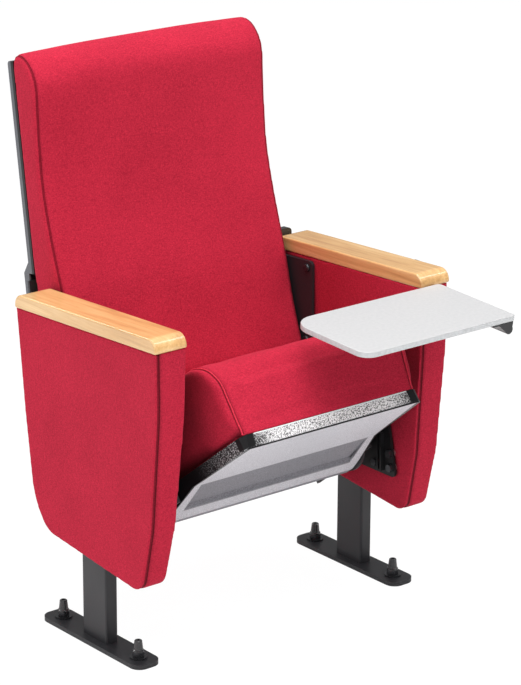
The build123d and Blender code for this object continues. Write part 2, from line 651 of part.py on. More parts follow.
def pan_recess():
    """Shallow wedge-shaped recess in the underside, from the crease down to a step near the belly."""
    half = PAN_REAR_HALF - RECESS_SIDE
    floor = pan_underside_depth(RECESS_REAR) - RECESS_DEPTH
    low = PAN_BELLY_DEPTH + PAN_WALL
    wedge = make_face(Polyline(
        (seat_y(PAN_FLAT_LENGTH), -PAN_FRONT_DEPTH),
        (seat_y(RECESS_REAR - RECESS_DEPTH / 2), -floor),
        (seat_y(RECESS_REAR + RECESS_DEPTH / 2), -low),
        (seat_y(PAN_FLAT_LENGTH), -low),
        close=True,
    ))
    front_half = half - RECESS_DEPTH
    plan = make_face(Polyline(
        (-front_half, seat_y(PAN_FLAT_LENGTH) - RECESS_DEPTH),
        (front_half, seat_y(PAN_FLAT_LENGTH) - RECESS_DEPTH),
        (half, seat_y(RECESS_REAR) + RECESS_DEPTH),
        (-half, seat_y(RECESS_REAR) + RECESS_DEPTH),
        close=True,
    ))
    prism = extrude(Plane.XY.offset(-2 * PAN_BELLY_DEPTH) * plan, 2 * PAN_BELLY_DEPTH)
    return slab_yz(wedge, -half, half) & prism


def board_screw_places():
    """Screws that hold the seat board down on the pan's bosses, as (X, Y) in the seat frame."""
    return [(x, seat_y(row)) for row in BOARD_SCREW_ROWS for x in (-BOARD_SCREW_X, BOARD_SCREW_X)]


def seat_pan():
    """Moulded pan: thin front, deeper rear, recessed underside, hollow inside with screw bosses."""
    outer = slab_yz(pan_side_profile(0), -PAN_REAR_HALF, PAN_REAR_HALF)
    outer &= extrude(Plane.XY.offset(-2 * PAN_BELLY_DEPTH) * pan_plan(0), 3 * PAN_BELLY_DEPTH)
    hollow = slab_yz(pan_side_profile(PAN_WALL), -PAN_REAR_HALF, PAN_REAR_HALF)
    hollow &= extrude(Plane.XY.offset(-2 * PAN_BELLY_DEPTH) * pan_plan(PAN_WALL), 3 * PAN_BELLY_DEPTH)
    recess_skin = Pos(0, 0, PAN_WALL) * pan_recess()
    pan = outer - (hollow - recess_skin)
    for x, y in board_screw_places():
        boss = extrude(Plane.XY.offset(-2 * PAN_BELLY_DEPTH) * (Pos(x, y) * Circle(BOSS_DIAMETER / 2)),
                       2 * PAN_BELLY_DEPTH - BOARD_THICKNESS)
        pan += boss & outer
    pan -= pan_recess()
    for x, y in board_screw_places():
        length = BOARD_SCREW_LENGTH - BOARD_THICKNESS + BORE_GAP
        bore = Cylinder(BOARD_SCREW_DIAMETER / 2 + BORE_GAP, length, align=(Align.CENTER, Align.CENTER, Align.MAX))
        pan -= Pos(x, y, -BOARD_THICKNESS) * bore
    return SEAT_FRAME * pan


def seat_board():
    """Plywood board on the pan's bosses, level with the rim, under the cushion."""
    board = extrude(Plane.XY.offset(-BOARD_THICKNESS) * pan_plan(PAN_WALL + BOARD_GAP), BOARD_THICKNESS)
    wall = pan_side_profile(PAN_WALL + BOARD_GAP)
    board &= slab_yz(wall, -PAN_REAR_HALF, PAN_REAR_HALF)
    for x, y in board_screw_places():
        board -= Pos(x, y, 0) * Cylinder(BOARD_SCREW_DIAMETER / 2 + BORE_GAP, 3 * BOARD_THICKNESS)
        board -= Pos(x, y, -BOARD_SCREW_HEAD_HEIGHT / 2) * Cylinder(BOARD_SCREW_HEAD / 2, BOARD_SCREW_HEAD_HEIGHT)
    return SEAT_FRAME * board


def seat_board_screws():
    """Flat-headed screws, flush with the top of the seat board."""
    shank = Cylinder(BOARD_SCREW_DIAMETER / 2, BOARD_SCREW_LENGTH, align=(Align.CENTER, Align.CENTER, Align.MAX))
    head = Cylinder(BOARD_SCREW_HEAD / 2, BOARD_SCREW_HEAD_HEIGHT, align=(Align.CENTER, Align.CENTER, Align.MAX))
    return [SEAT_FRAME * (Pos(x, y, 0) * (shank + head)) for x, y in board_screw_places()]


def counterweight():
    """Wedge-shaped steel bar in the rear of the pan that tips the empty seat up."""
    front = seat_y(WEIGHT_FRONT)
    rear = seat_y(PAN_LENGTH - PAN_WALL - WEIGHT_END_GAP)
    room = make_face(Polyline(
        (front, -BOARD_THICKNESS),
        (rear, -BOARD_THICKNESS),
        (rear, -PAN_BELLY_DEPTH),
        (front, -PAN_BELLY_DEPTH),
        close=True,
    ))
    section = room & pan_side_profile(PAN_WALL)
    return SEAT_FRAME * slab_yz(section, -WEIGHT_LENGTH / 2, WEIGHT_LENGTH / 2)


def seat_profile(inset, crown):
    """Side profile of the seat cushion: upright nose, flat top falling to the rear, square rear."""
    front = seat_y(inset)
    rear = seat_y(PAN_LENGTH + SEAT_NOSE_BULGE - inset)
    top = SEAT_CUSHION_HEIGHT - inset + crown
    back = SEAT_CUSHION_REAR_HEIGHT - inset + crown
    bulge = SEAT_NOSE_BULGE
    nose = [
        (front, SOFT_GAP),
        (front - bulge / 2, top * 0.33),
        (front - bulge, top * 0.62),
        (front + bulge * 1.1, top * 0.88),
        (front + bulge * 6.5, top),
        (seat_y(PAN_LENGTH / 2) + bulge * 3, (top + back) / 2 + bulge / 2),
        (rear - bulge * 2.5, back),
        (rear - bulge * 0.6, back - bulge),
        (rear, back - bulge * 3),
    ]
    return [
        ThreePointArc(nose[0], nose[1], nose[2]),
        ThreePointArc(nose[2], nose[3], nose[4]),
        ThreePointArc(nose[4], nose[5], nose[6]),
        ThreePointArc(nose[6], nose[7], nose[8]),
        Line(nose[8], (rear, SOFT_GAP)),
        Line((rear, SOFT_GAP), nose[0]),
    ]


def seat_section_plane(half, x_way):
    """Plane of a side section of the seat cushion, leaning out with height and with length."""
    along = Vector(x_way * SEAT_SEAM_FLARE, 1, 0)
    up = Vector(x_way * SEAT_SEAM_LEAN, 0, 1)
    origin = Vector(x_way * (half - SEAT_SEAM_FLARE * seat_y(0)), 0, 0)
    return Plane(origin=origin, x_dir=along, z_dir=along.cross(up))


def seat_section(plane, inset, crown):
    """One closed section of the seat cushion."""
    return make_face(plane * Wire(seat_profile(inset, crown)))


def seat_cushion():
    """Upholstered cushion: crowned across, with side panels drawn in below and behind the seams."""
    middle = seat_section(Plane.YZ, 0, SEAT_CROWN)
    seams = {way: seat_section(seat_section_plane(SEAT_SEAM_HALF, way), 0, 0) for way in (-1, 1)}
    cushion = loft([seams[-1], middle, seams[1]])
    for way in (-1, 1):
        outer = seat_section(seat_section_plane(SEAT_SEAM_HALF + SEAT_SIDE_BULGE, way), SEAT_SIDE_INSET, 0)
        cushion += loft([seams[way], outer], ruled=True)
    return SEAT_FRAME * cushion


def seat_arm():
    """Steel side arm of the seat: a slotted hub that turns on the pivot pin and a foot screwed to the pan."""
    hub = Circle(HUB_RADIUS)
    length = ARM_PLATE_FRONT + ARM_PLATE_REAR
    centre_y = (ARM_PLATE_REAR - ARM_PLATE_FRONT) / 2
    centre_z = -(ARM_PLATE_LOW + ARM_PLATE_HIGH) / 2
    foot = Pos(centre_y, centre_z) * Rectangle(length, ARM_PLATE_LOW - ARM_PLATE_HIGH)
    face = hub + foot
    face -= Circle(PIVOT_PIN_DIAMETER / 2 + RUNNING_GAP + BUSH_WALL)
    end_gap = math.degrees((STOP_END_GAP - STOP_SLOT_GAP) / STOP_RADIUS)
    start = STOP_STUD_ANGLE + TIP_ANGLE - SEAT_TRAVEL - end_gap
    track = CenterArc((0, 0), STOP_RADIUS, start, SEAT_TRAVEL + 2 * end_gap)
    face -= SlotArc(track, STOP_SLEEVE_DIAMETER + 2 * STOP_SLOT_GAP)
    for y in SEAT_ARM_SCREWS:
        face -= Pos(y, centre_z) * Circle(SEAT_ARM_SCREW_DIAMETER / 2 + BORE_GAP)
    return SEAT_FRAME * slab_yz(face, PAN_REAR_HALF, SEAT_ARM_OUTER_X)


def seat_bush():
    """Flanged plastic bush between the hub and the pivot pin."""
    bore = Circle(PIVOT_PIN_DIAMETER / 2 + RUNNING_GAP)
    outer = PIVOT_PIN_DIAMETER / 2 + RUNNING_GAP + BUSH_WALL
    bush = slab_yz(Circle(outer) - bore, PAN_REAR_HALF, SEAT_ARM_OUTER_X)
    bush += slab_yz(Circle(outer + BUSH_WALL) - bore, SEAT_ARM_OUTER_X, SEAT_ARM_OUTER_X + BUSH_FLANGE)
    return SEAT_FRAME * bush


def seat_arm_screws():
    """Button-head screws through each seat arm into the side of the pan."""
    z = -(ARM_PLATE_LOW + ARM_PLATE_HIGH) / 2
    screws = []
    for y in SEAT_ARM_SCREWS:
        screw = rod_x(SEAT_ARM_SCREW_DIAMETER, PAN_REAR_HALF, SEAT_ARM_OUTER_X, y, z)
        screw += rod_x(SEAT_ARM_SCREW_HEAD, SEAT_ARM_OUTER_X, SEAT_ARM_OUTER_X + SEAT_ARM_SCREW_HEAD_HEIGHT, y, z)
        screws += [SEAT_FRAME * side for side in both_sides(screw)]
    return screws


# --- back ---------------------------------------------------------------------------------------
def back_profile(inset, crown):
    """Side profile of the back cushion: deep at the lumbar, thin at the neck, full again at the head."""
    top = BACK_HEIGHT - inset
    head = top * 0.87
    neck = top * 0.63
    waist = top * 0.32
    lead = crown + inset * 0.5
    foot = (lead - BACK_FOOT_DEPTH, BACK_FOOT_RISE)
    brow = (lead - BACK_BROW_DEPTH, top - BACK_BROW_DROP)
    heel = (lead - BACK_HEEL_DEPTH, -BACK_HEEL_DROP)
    return [
        ThreePointArc(foot, (lead - BACK_LUMBAR_DEPTH, BACK_LUMBAR_RISE), (lead - BACK_WAIST_DEPTH, waist)),
        ThreePointArc((lead - BACK_WAIST_DEPTH, waist), (lead - BACK_SPINE_DEPTH, top * 0.485),
                      (lead - BACK_NECK_DEPTH, neck)),
        ThreePointArc((lead - BACK_NECK_DEPTH, neck), (lead - BACK_NAPE_DEPTH, top * 0.755),
                      (lead - BACK_HEAD_DEPTH, head)),
        ThreePointArc((lead - BACK_HEAD_DEPTH, head), brow, (-BACK_TOP_EDGE, top)),
        Line((-BACK_TOP_EDGE, top), (0, top - BACK_TOP_DROP)),
        Line((0, top - BACK_TOP_DROP), (0, 0)),
        Line((0, 0), heel),
        ThreePointArc(heel, (lead - BACK_TOE_DEPTH, -BACK_TOE_DROP), foot),
    ]


def back_section(x, inset, crown):
    """One closed section of the back cushion, square to X."""
    return make_face(side_plane(x) * Wire(back_profile(inset, crown)))


def back_cushion():
    """Upholstered back: a soft S in profile, crowned across, with side panels behind the seams."""
    seam_x = BACK_WIDTH / 2 - BACK_SEAM_INSET
    seams = {way: back_section(way * seam_x, 0, BACK_SEAM_DROP) for way in (-1, 1)}
    cushion = loft([seams[-1], back_section(0, 0, 0), seams[1]])
    for way in (-1, 1):
        outer = back_section(way * BACK_WIDTH / 2, BACK_SIDE_INSET, BACK_SEAM_DROP)
        cushion += loft([seams[way], outer], ruled=True)
    return BACK_FRAME * cushion


def shell_side(depth_cut):
    """Side profile of the back shell; depth_cut moves its rear face forward for the hollow."""
    depth = SHELL_DEPTH - depth_cut
    low = SHELL_DEPTH + SHELL_STEP_DEPTH - depth_cut
    return make_face(Polyline(
        (0, 0),
        (low, 0),
        (low, SHELL_STEP_LOW),
        (depth, SHELL_STEP_HIGH),
        (depth, SHELL_HEIGHT - depth_cut),
        (0, SHELL_HEIGHT - depth_cut),
        close=True,
    ))


def back_shell():
    """Moulded rear shell, with a deeper lower part that clears the support brackets."""
    half = BACK_WIDTH / 2
    shell = slab_yz(shell_side(0), -half, half)
    upright = [edge for edge in shell.edges().filter_by(Axis.X) if edge.center().Y > SHELL_WALL]
    shell = fillet([edge for edge in upright if edge.center().Z > SHELL_STEP_HIGH + SHELL_WALL], SHELL_EDGE)
    hollow = slab_yz(shell_side(SHELL_WALL), -half + SHELL_WALL, half - SHELL_WALL)
    shell -= hollow
    window_depth = BACK_BOARD_THICKNESS + BACK_FLANGE_THICKNESS + SOFT_GAP
    window = Box(2 * BACK_WIDTH, window_depth, SHELL_STEP_LOW, align=(Align.CENTER, Align.MIN, Align.MIN))
    shell -= window
    for x, z in shell_screw_places():
        shell -= screw_bore(SHELL_SCREW_DIAMETER, x, z)
    return BACK_FRAME * shell


def screw_bore(diameter, x, z):
    """A hole square to the back, right through it."""
    bore = Cylinder(diameter / 2 + BORE_GAP, 4 * SHELL_DEPTH, rotation=(90, 0, 0))
    return Pos(x, 0, z) * bore


def shell_screw_places():
    """Screws that hold the shell to the back board, as (X, Z) in the back frame."""
    return [(x, z) for z in SHELL_SCREW_HEIGHTS for x in (-SHELL_SCREW_X, 0, SHELL_SCREW_X)]


def flange_screw_places():
    """Screws through the bracket flanges into the back board, as (X, Z) in the back frame."""
    x = BACK_WIDTH / 2 - BACK_FLANGE_WIDTH / 2
    return [(way * x, z) for z in FLANGE_SCREW_HEIGHTS for way in (-1, 1)]


def back_board():
    """Plywood board inside the back, which the cushion, the shell and the brackets are fixed to."""
    width = BACK_WIDTH - 2 * BACK_BOARD_MARGIN
    height = SHELL_HEIGHT - BACK_BOARD_MARGIN
    board = Box(width, BACK_BOARD_THICKNESS, height, align=(Align.CENTER, Align.MIN, Align.MIN))
    for x, z in shell_screw_places():
        board -= screw_bore(SHELL_SCREW_DIAMETER, x, z)
    for x, z in flange_screw_places():
        board -= screw_bore(FLANGE_SCREW_DIAMETER, x, z)
    return BACK_FRAME * board


def shell_screws():
    """Pan-head screws through the shell into the back board."""
    screws = []
    shank_length = SHELL_DEPTH - SOFT_GAP
    for x, z in shell_screw_places():
        shank = Cylinder(SHELL_SCREW_DIAMETER / 2, shank_length, rotation=(-90, 0, 0),
                         align=(Align.CENTER, Align.CENTER, Align.MAX))
        head = Cylinder(SHELL_SCREW_HEAD / 2, SHELL_SCREW_HEAD_HEIGHT, rotation=(-90, 0, 0),
                        align=(Align.CENTER, Align.CENTER, Align.MIN))
        screws.append(BACK_FRAME * (Pos(x, SHELL_DEPTH, z) * (shank + head)))
    return screws


def back_bracket_face():
    """Outline of the side plate of a back bracket, as (Y, Z) in the row's frame."""
    slope = -math.tan(math.radians(BACK_BRACKET_TOP_SLOPE))
    lean = math.tan(math.radians(BACK_RECLINE))
    board_rear = BACK_BOARD_THICKNESS + BACK_FLANGE_THICKNESS
    foot_rear = BACK_FOOT_Y + board_rear + (BACK_BRACKET_FOOT_Z - BACK_FOOT_Z) * lean
    top_rear = BACK_FOOT_Y + board_rear + (BACK_BRACKET_TOP_Z - BACK_FOOT_Z) * lean
    top_rear_z = BACK_BRACKET_TOP_Z + (top_rear - BACK_BRACKET_FRONT_Y) * slope
    return outline([
        ((BACK_BRACKET_FRONT_Y, BACK_BRACKET_FOOT_Z), BACK_BRACKET_CORNER),
        ((BACK_BRACKET_FRONT_Y, BACK_BRACKET_TOP_Z), BACK_BRACKET_CORNER),
        ((top_rear, top_rear_z), 1.0),
        ((foot_rear, BACK_BRACKET_FOOT_Z), 1.0),
    ])


def back_bracket():
    """Bent steel plate from the stand to the back board, with a flange across the board's rear."""
    plate_low = BACK_WIDTH / 2
    plate_face = BACK_BRACKET_BACK_X - BACK_BRACKET_THICKNESS
    plate = slab_yz(back_bracket_face(), plate_face, BACK_BRACKET_BACK_X)
    foot = (BACK_BRACKET_FOOT_Z - BACK_FOOT_Z) / math.cos(math.radians(BACK_RECLINE)) + BACK_BRACKET_CORNER
    height = SHELL_STEP_LOW - SHELL_WALL - foot - BACK_BRACKET_CORNER
    reach = plate_face + BACK_BRACKET_THICKNESS / 2 - plate_low + BACK_FLANGE_WIDTH
    flange = Box(reach, BACK_FLANGE_THICKNESS, height, align=(Align.MIN, Align.MIN, Align.MIN))
    flange = BACK_FRAME * (Pos(plate_low - BACK_FLANGE_WIDTH, BACK_BOARD_THICKNESS, foot) * flange)
    bracket = plate + flange
    for x, z in flange_screw_places():
        bracket -= BACK_FRAME * screw_bore(FLANGE_SCREW_DIAMETER, x, z)
    for y, z in back_screw_places():
        bracket -= rod_x(BACK_SCREW_DIAMETER + 2 * BORE_GAP, plate_face, BACK_BRACKET_BACK_X, y, z)
    return bracket


def back_bracket_screws():
    """Round-head screws from the back brackets into the stands."""
    screws = []
    face = BACK_BRACKET_BACK_X - BACK_BRACKET_THICKNESS
    for y, z in back_screw_places():
        screw = rod_x(BACK_SCREW_DIAMETER, face, STAND_X, y, z)
        head = rod_x(BACK_SCREW_HEAD, face - BACK_SCREW_HEAD_HEIGHT, face, y, z)
        screw += fillet(head.faces().sort_by(Axis.X)[0].edges(), BACK_SCREW_HEAD_HEIGHT * 0.8)
        screws += both_sides(screw)
    return screws


def flange_screws():
    """Screws through the bracket flanges, forward into the back board."""
    screws = []
    face = BACK_BOARD_THICKNESS + BACK_FLANGE_THICKNESS
    for x, z in flange_screw_places():
        shank = Cylinder(FLANGE_SCREW_DIAMETER / 2, face - SOFT_GAP, rotation=(-90, 0, 0),
                         align=(Align.CENTER, Align.CENTER, Align.MAX))
        head = Cylinder(FLANGE_SCREW_HEAD / 2, FLANGE_SCREW_HEAD_HEIGHT, rotation=(-90, 0, 0),
                        align=(Align.CENTER, Align.CENTER, Align.MIN))
        screws.append(BACK_FRAME * (Pos(x, face, z) * (shank + head)))
    return screws


# --- writing tablet -----------------------------------------------------------------------------
def tablet_plate_screw_places():
    """Screws of the tablet's pivot plate, as (Y, Z): two in the armrest and two in the side panel's board."""
    spread = TABLET_PLATE_SCREW_SPREAD
    rise = TABLET_PLATE_SCREW_RISE
    return [(TABLET_PIVOT_Y + sy * spread, TABLET_PIVOT_Z + sz * rise) for sy in (-1, 1) for sz in (-1, 1)]


def tablet_plate_screw_end(z):
    """How far in a screw of the pivot plate reaches: into the armrest, or through the padding into the board."""
    depth = TABLET_PLATE_SCREW_GRIP
    return TABLET_PLATE_X - depth if z > TABLET_PIVOT_Z else STAND_X + POST_ACROSS / 2 - depth / 2


def tablet_plate_bores():
    """Holes for the pivot plate's screws in the right armrest, cover and board."""
    bores = []
    for y, z in tablet_plate_screw_places():
        bores.append(rod_x(TABLET_PLATE_SCREW_DIAMETER + 2 * BORE_GAP, tablet_plate_screw_end(z) - BORE_GAP,
                           TABLET_PLATE_X, y, z))
    return bores


def tablet_pivot_plate():
    """Steel plate on the outer side of the right armrest and panel, countersunk for its screws."""
    face = Pos(TABLET_PIVOT_Y, TABLET_PIVOT_Z) * RectangleRounded(
        TABLET_PLATE_LENGTH, TABLET_PLATE_HEIGHT, TABLET_PLATE_CORNER)
    outer = TABLET_PLATE_X + TABLET_PLATE_THICKNESS
    plate = slab_yz(face, TABLET_PLATE_X, outer)
    for y, z in tablet_plate_screw_places():
        plate -= rod_x(TABLET_PLATE_SCREW_DIAMETER + 2 * BORE_GAP, TABLET_PLATE_X, outer, y, z)
        plate -= rod_x(TABLET_PLATE_SCREW_HEAD + 2 * BORE_GAP, outer - TABLET_PLATE_SCREW_HEAD_HEIGHT, outer, y, z)
    return plate


def tablet_plate_screws():
    """Screws with sunk heads through the pivot plate."""
    outer = TABLET_PLATE_X + TABLET_PLATE_THICKNESS
    screws = []
    for y, z in tablet_plate_screw_places():
        screw = rod_x(TABLET_PLATE_SCREW_DIAMETER, tablet_plate_screw_end(z), outer, y, z)
        screw += rod_x(TABLET_PLATE_SCREW_HEAD, outer - TABLET_PLATE_SCREW_HEAD_HEIGHT, outer, y, z)
        screws.append(screw)
    return screws


def arm_end_block():
    """Moulded black block screwed behind the right armrest, a little higher than the wood."""
    block = Box(END_BLOCK_WIDTH, END_BLOCK_LENGTH, END_BLOCK_RISE + END_BLOCK_DROP,
                align=(Align.MAX, Align.MIN, Align.MAX))
    block = Pos(END_BLOCK_SHIFT, ARM_LENGTH, END_BLOCK_RISE) * block
    block = fillet(block.edges().filter_by(Axis.Y).group_by(Axis.Z)[-1], END_BLOCK_RADIUS)
    return Pos(STAND_X, 0, 0) * (ARMREST_FRAME * block)


def tablet_pivot_pin():
    """Shouldered pin fixed to the pivot plate."""
    low = TABLET_PLATE_X + TABLET_PLATE_THICKNESS
    high = TABLET_ARM_X + TABLET_ARM_THICKNESS + TABLET_ARM_GAP + TABLET_NUT_HEIGHT
    return rod_x(TABLET_PIN_DIAMETER, low, high, TABLET_PIVOT_Y, TABLET_PIVOT_Z)


def tablet_pivot_nut():
    """Lock nut on the end of the pivot pin."""
    low = TABLET_ARM_X + TABLET_ARM_THICKNESS + TABLET_ARM_GAP
    hexagon = RegularPolygon(TABLET_NUT_FLATS / 2, 6, major_radius=False) - Circle(TABLET_PIN_DIAMETER / 2)
    return slab_yz(Pos(TABLET_PIVOT_Y, TABLET_PIVOT_Z) * hexagon, low, low + TABLET_NUT_HEIGHT)


def hinge_rod_z(from_rear):
    """Height of the hinge rod's axis under a point of the tablet, measured from the tablet's rear edge."""
    tilt = math.radians(TABLET_TILT)
    return TABLET_REAR_TOP_Z - from_rear * math.sin(tilt) - HINGE_ROD_DROP * math.cos(tilt)


def hinge_rod_y(from_rear):
    """Y of the hinge rod's axis at that point."""
    tilt = math.radians(TABLET_TILT)
    return TABLET_REAR_Y - from_rear * math.cos(tilt) + HINGE_ROD_DROP * math.sin(tilt)


def tablet_arm():
    """Flat steel arm outside the armrest and the bent rod it carries under the tablet's outer edge."""
    rod_end = TABLET_DEPTH - HINGE_BAR_END_WALL - RUNNING_GAP
    rise_end = TABLET_ROD_START + TABLET_ROD_DIP
    start_y = hinge_rod_y(TABLET_ROD_START)
    start_z = hinge_rod_z(TABLET_ROD_START) - TABLET_ROD_DIP
    face = make_hull([
        *(Pos(TABLET_PIVOT_Y, TABLET_PIVOT_Z) * Circle(TABLET_HUB_RADIUS)).edges(),
        *(Pos(start_y, start_z) * Circle(TABLET_ARM_TIP_RADIUS)).edges(),
    ])
    face -= Pos(TABLET_PIVOT_Y, TABLET_PIVOT_Z) * Circle(TABLET_PIN_DIAMETER / 2 + RUNNING_GAP)
    arm = slab_yz(face, TABLET_ARM_X, TABLET_ARM_X + TABLET_ARM_THICKNESS)
    route = FilletPolyline(
        (TABLET_ARM_X + TABLET_ARM_THICKNESS, start_y, start_z),
        (TABLET_ROD_X, start_y, start_z),
        (TABLET_ROD_X, hinge_rod_y(rise_end), hinge_rod_z(rise_end)),
        (TABLET_ROD_X, hinge_rod_y(rod_end), hinge_rod_z(rod_end)),
        radius=TABLET_ROD_BEND,
    )
    rod = sweep(Plane(origin=route @ 0, z_dir=route % 0) * Circle(TABLET_ROD_DIAMETER / 2), path=route)
    return arm + rod


def hinge_bar():
    """Hinge bar screwed under the tablet's outer edge: a thin flange, a web and a bored knuckle."""
    knuckle = HINGE_BAR_KNUCKLE_RADIUS
    rod_z = -HINGE_ROD_DROP
    under = -TABLET_THICKNESS
    inner = TABLET_ROD_X - HINGE_BAR_FLANGE
    outer = TABLET_ROD_X + knuckle
    low = under - HINGE_BAR_FLANGE_THICKNESS
    section = make_face(Polyline(
        (inner, under),
        (outer, under),
        (outer, low),
        (TABLET_ROD_X + knuckle * 0.866, rod_z + knuckle * 0.5),
        (TABLET_ROD_X, rod_z),
        (TABLET_ROD_X - knuckle * 0.866, rod_z - knuckle * 0.5),
        (inner + HINGE_BAR_FLAT, low),
        (inner, low),
        close=True,
    ))
    section += Pos(TABLET_ROD_X, rod_z) * Circle(knuckle)
    length = TABLET_DEPTH - HINGE_BAR_REAR_SETBACK
    bar = Pos(0, -HINGE_BAR_REAR_SETBACK, 0) * extrude(Plane.XZ * section, length)
    bore_length = length - HINGE_BAR_END_WALL
    bore = extrude(Plane.XZ * (Pos(TABLET_ROD_X, rod_z) * Circle(TABLET_ROD_DIAMETER / 2 + RUNNING_GAP)), bore_length)
    bar -= Pos(0, -HINGE_BAR_REAR_SETBACK, 0) * bore
    for x, y in tablet_screw_places():
        bar -= Pos(x, y, under) * Cylinder(TABLET_SCREW_DIAMETER / 2 + BORE_GAP, 2 * TABLET_THICKNESS)
    return TABLET_FRAME * bar


def tablet_screw_places():
    """Screws along the hinge bar's flange, as (X, Y) in the tablet frame."""
    x = TABLET_ROD_X - HINGE_BAR_FLANGE + HINGE_BAR_FLAT / 2
    run = TABLET_DEPTH - HINGE_BAR_REAR_SETBACK
    step = run / TABLET_SCREW_COUNT
    return [(x, -HINGE_BAR_REAR_SETBACK - step * (index + 0.5)) for index in range(TABLET_SCREW_COUNT)]


def tablet_board():
    """Writing board with one large, one medium and two small corners and a softened edge."""
    inner = TABLET_OUTER_X - TABLET_WIDTH
    plan = make_face(FilletPolyline(
        (TABLET_OUTER_X, 0),
        (inner, 0),
        (inner, -TABLET_DEPTH),
        (TABLET_OUTER_X, -TABLET_DEPTH),
        radius=[TABLET_OUTER_RADIUS, TABLET_INNER_REAR_RADIUS, TABLET_INNER_FRONT_RADIUS, TABLET_OUTER_RADIUS],
        close=True,
    ))
    board = extrude(Plane.XY.offset(-TABLET_THICKNESS) * plan, TABLET_THICKNESS)
    rims = board.faces().sort_by(Axis.Z)
    board = fillet(rims[0].edges() + rims[-1].edges(), TABLET_EDGE)
    for x, y in tablet_screw_places():
        grip = Cylinder(TABLET_SCREW_DIAMETER / 2 + BORE_GAP, TABLET_SCREW_GRIP,
                        align=(Align.CENTER, Align.CENTER, Align.MIN))
        board -= Pos(x, y, -TABLET_THICKNESS) * grip
    return TABLET_FRAME * board


def tablet_screws():
    """Screws up through the hinge bar's flange into the board."""
    seat = -TABLET_THICKNESS - HINGE_BAR_FLANGE_THICKNESS
    length = HINGE_BAR_FLANGE_THICKNESS + TABLET_SCREW_GRIP - BORE_GAP
    shank = Cylinder(TABLET_SCREW_DIAMETER / 2, length, align=(Align.CENTER, Align.CENTER, Align.MIN))
    head = Cylinder(TABLET_SCREW_HEAD / 2, TABLET_SCREW_HEAD_HEIGHT, align=(Align.CENTER, Align.CENTER, Align.MAX))
    return [TABLET_FRAME * (Pos(x, y, seat) * (shank + head)) for x, y in tablet_screw_places()]


# --- writing the pieces -------------------------------------------------------------------------
os.makedirs("parts", exist_ok=True)

SIDED = {
    "base_plate": base_plate,
    "post": post,
    "arm_bearer": arm_bearer,
    "armrest": armrest,
    "side_core": side_core,
    "side_cover": side_cover,
    "hinge_bracket": hinge_bracket,
    "pivot_pin": pivot_pin,
    "stop_stud": stop_stud,
    "stop_sleeve": stop_sleeve,
    "seat_arm": seat_arm,
    "seat_bush": seat_bush,
    "back_bracket": back_bracket,
}
RIGHT_BORED = ["armrest", "side_core", "side_cover"]
for name, build in SIDED.items():
    right, left = both_sides(build())
    if name in RIGHT_BORED:
        right -= tablet_plate_bores()
    write(f"right_{name}", right)
    write(f"left_{name}", left)

write("right_hinge_bolts", Compound(children=hinge_bolts(1)))
write("left_hinge_bolts", Compound(children=hinge_bolts(-1)))
write("right_spacer_sleeves", Compound(children=spacer_sleeves(1)))
write("left_spacer_sleeves", Compound(children=spacer_sleeves(-1)))

GROUPS = {
    "anchor_washers": anchor_washers,
    "anchor_nuts": anchor_nuts,
    "anchor_caps": anchor_caps,
    "arm_screws": arm_screws,
    "seat_board_screws": seat_board_screws,
    "seat_arm_screws": seat_arm_screws,
    "shell_screws": shell_screws,
    "back_bracket_screws": back_bracket_screws,
    "flange_screws": flange_screws,
    "tablet_plate_screws": tablet_plate_screws,
    "tablet_screws": tablet_screws,
}
for name, build in GROUPS.items():
    write(name, Compound(children=build()))

SINGLES = {
    "seat_pan": seat_pan,
    "seat_board": seat_board,
    "counterweight": counterweight,
    "seat_cushion": seat_cushion,
    "back_shell": back_shell,
    "back_board": back_board,
    "back_cushion": back_cushion,
    "arm_end_block": arm_end_block,
    "tablet_pivot_plate": tablet_pivot_plate,
    "tablet_pivot_pin": tablet_pivot_pin,
    "tablet_pivot_nut": tablet_pivot_nut,
    "tablet_arm": tablet_arm,
    "hinge_bar": hinge_bar,
    "tablet_board": tablet_board,
}
for name, build in SINGLES.items():
    write(name, build())
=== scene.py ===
# %% [markdown]
# # Dressing a tip-up auditorium seat
# The engineering model of the seat is already packed as a fixed frame, with every bolt in its place.
# This lesson puts on what a sitter sees and touches: the upholstery, the lacquered wood, the grained
# plastic and the powder-coated steel. Nothing of the frame is moved, so a piece made here sits where
# the drawing says.

# %% Load the frame
import math
import bmesh
import bpy
from mathutils import Matrix, Vector
from mathutils.bvhtree import BVHTree


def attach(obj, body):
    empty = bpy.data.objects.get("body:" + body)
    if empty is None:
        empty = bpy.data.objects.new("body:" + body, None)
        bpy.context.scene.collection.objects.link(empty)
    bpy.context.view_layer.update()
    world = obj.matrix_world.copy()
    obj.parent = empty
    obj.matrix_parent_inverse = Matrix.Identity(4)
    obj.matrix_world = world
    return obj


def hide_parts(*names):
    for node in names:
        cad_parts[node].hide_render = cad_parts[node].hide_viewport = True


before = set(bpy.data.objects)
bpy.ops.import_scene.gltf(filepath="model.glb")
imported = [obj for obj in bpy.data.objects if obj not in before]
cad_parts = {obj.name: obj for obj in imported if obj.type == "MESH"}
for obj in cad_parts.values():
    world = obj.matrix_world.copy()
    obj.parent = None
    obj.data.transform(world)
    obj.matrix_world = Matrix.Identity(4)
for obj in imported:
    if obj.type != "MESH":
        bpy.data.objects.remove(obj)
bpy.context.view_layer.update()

# %% [markdown]
# ## The camera
# The photograph was taken with a long lens, so the seat's upright edges hardly converge. The camera
# stands about five metres off, to the front left and a little above the back. Its place was found by
# matching the anchor nuts, the foot plates and the armrests, whose real sizes are known.

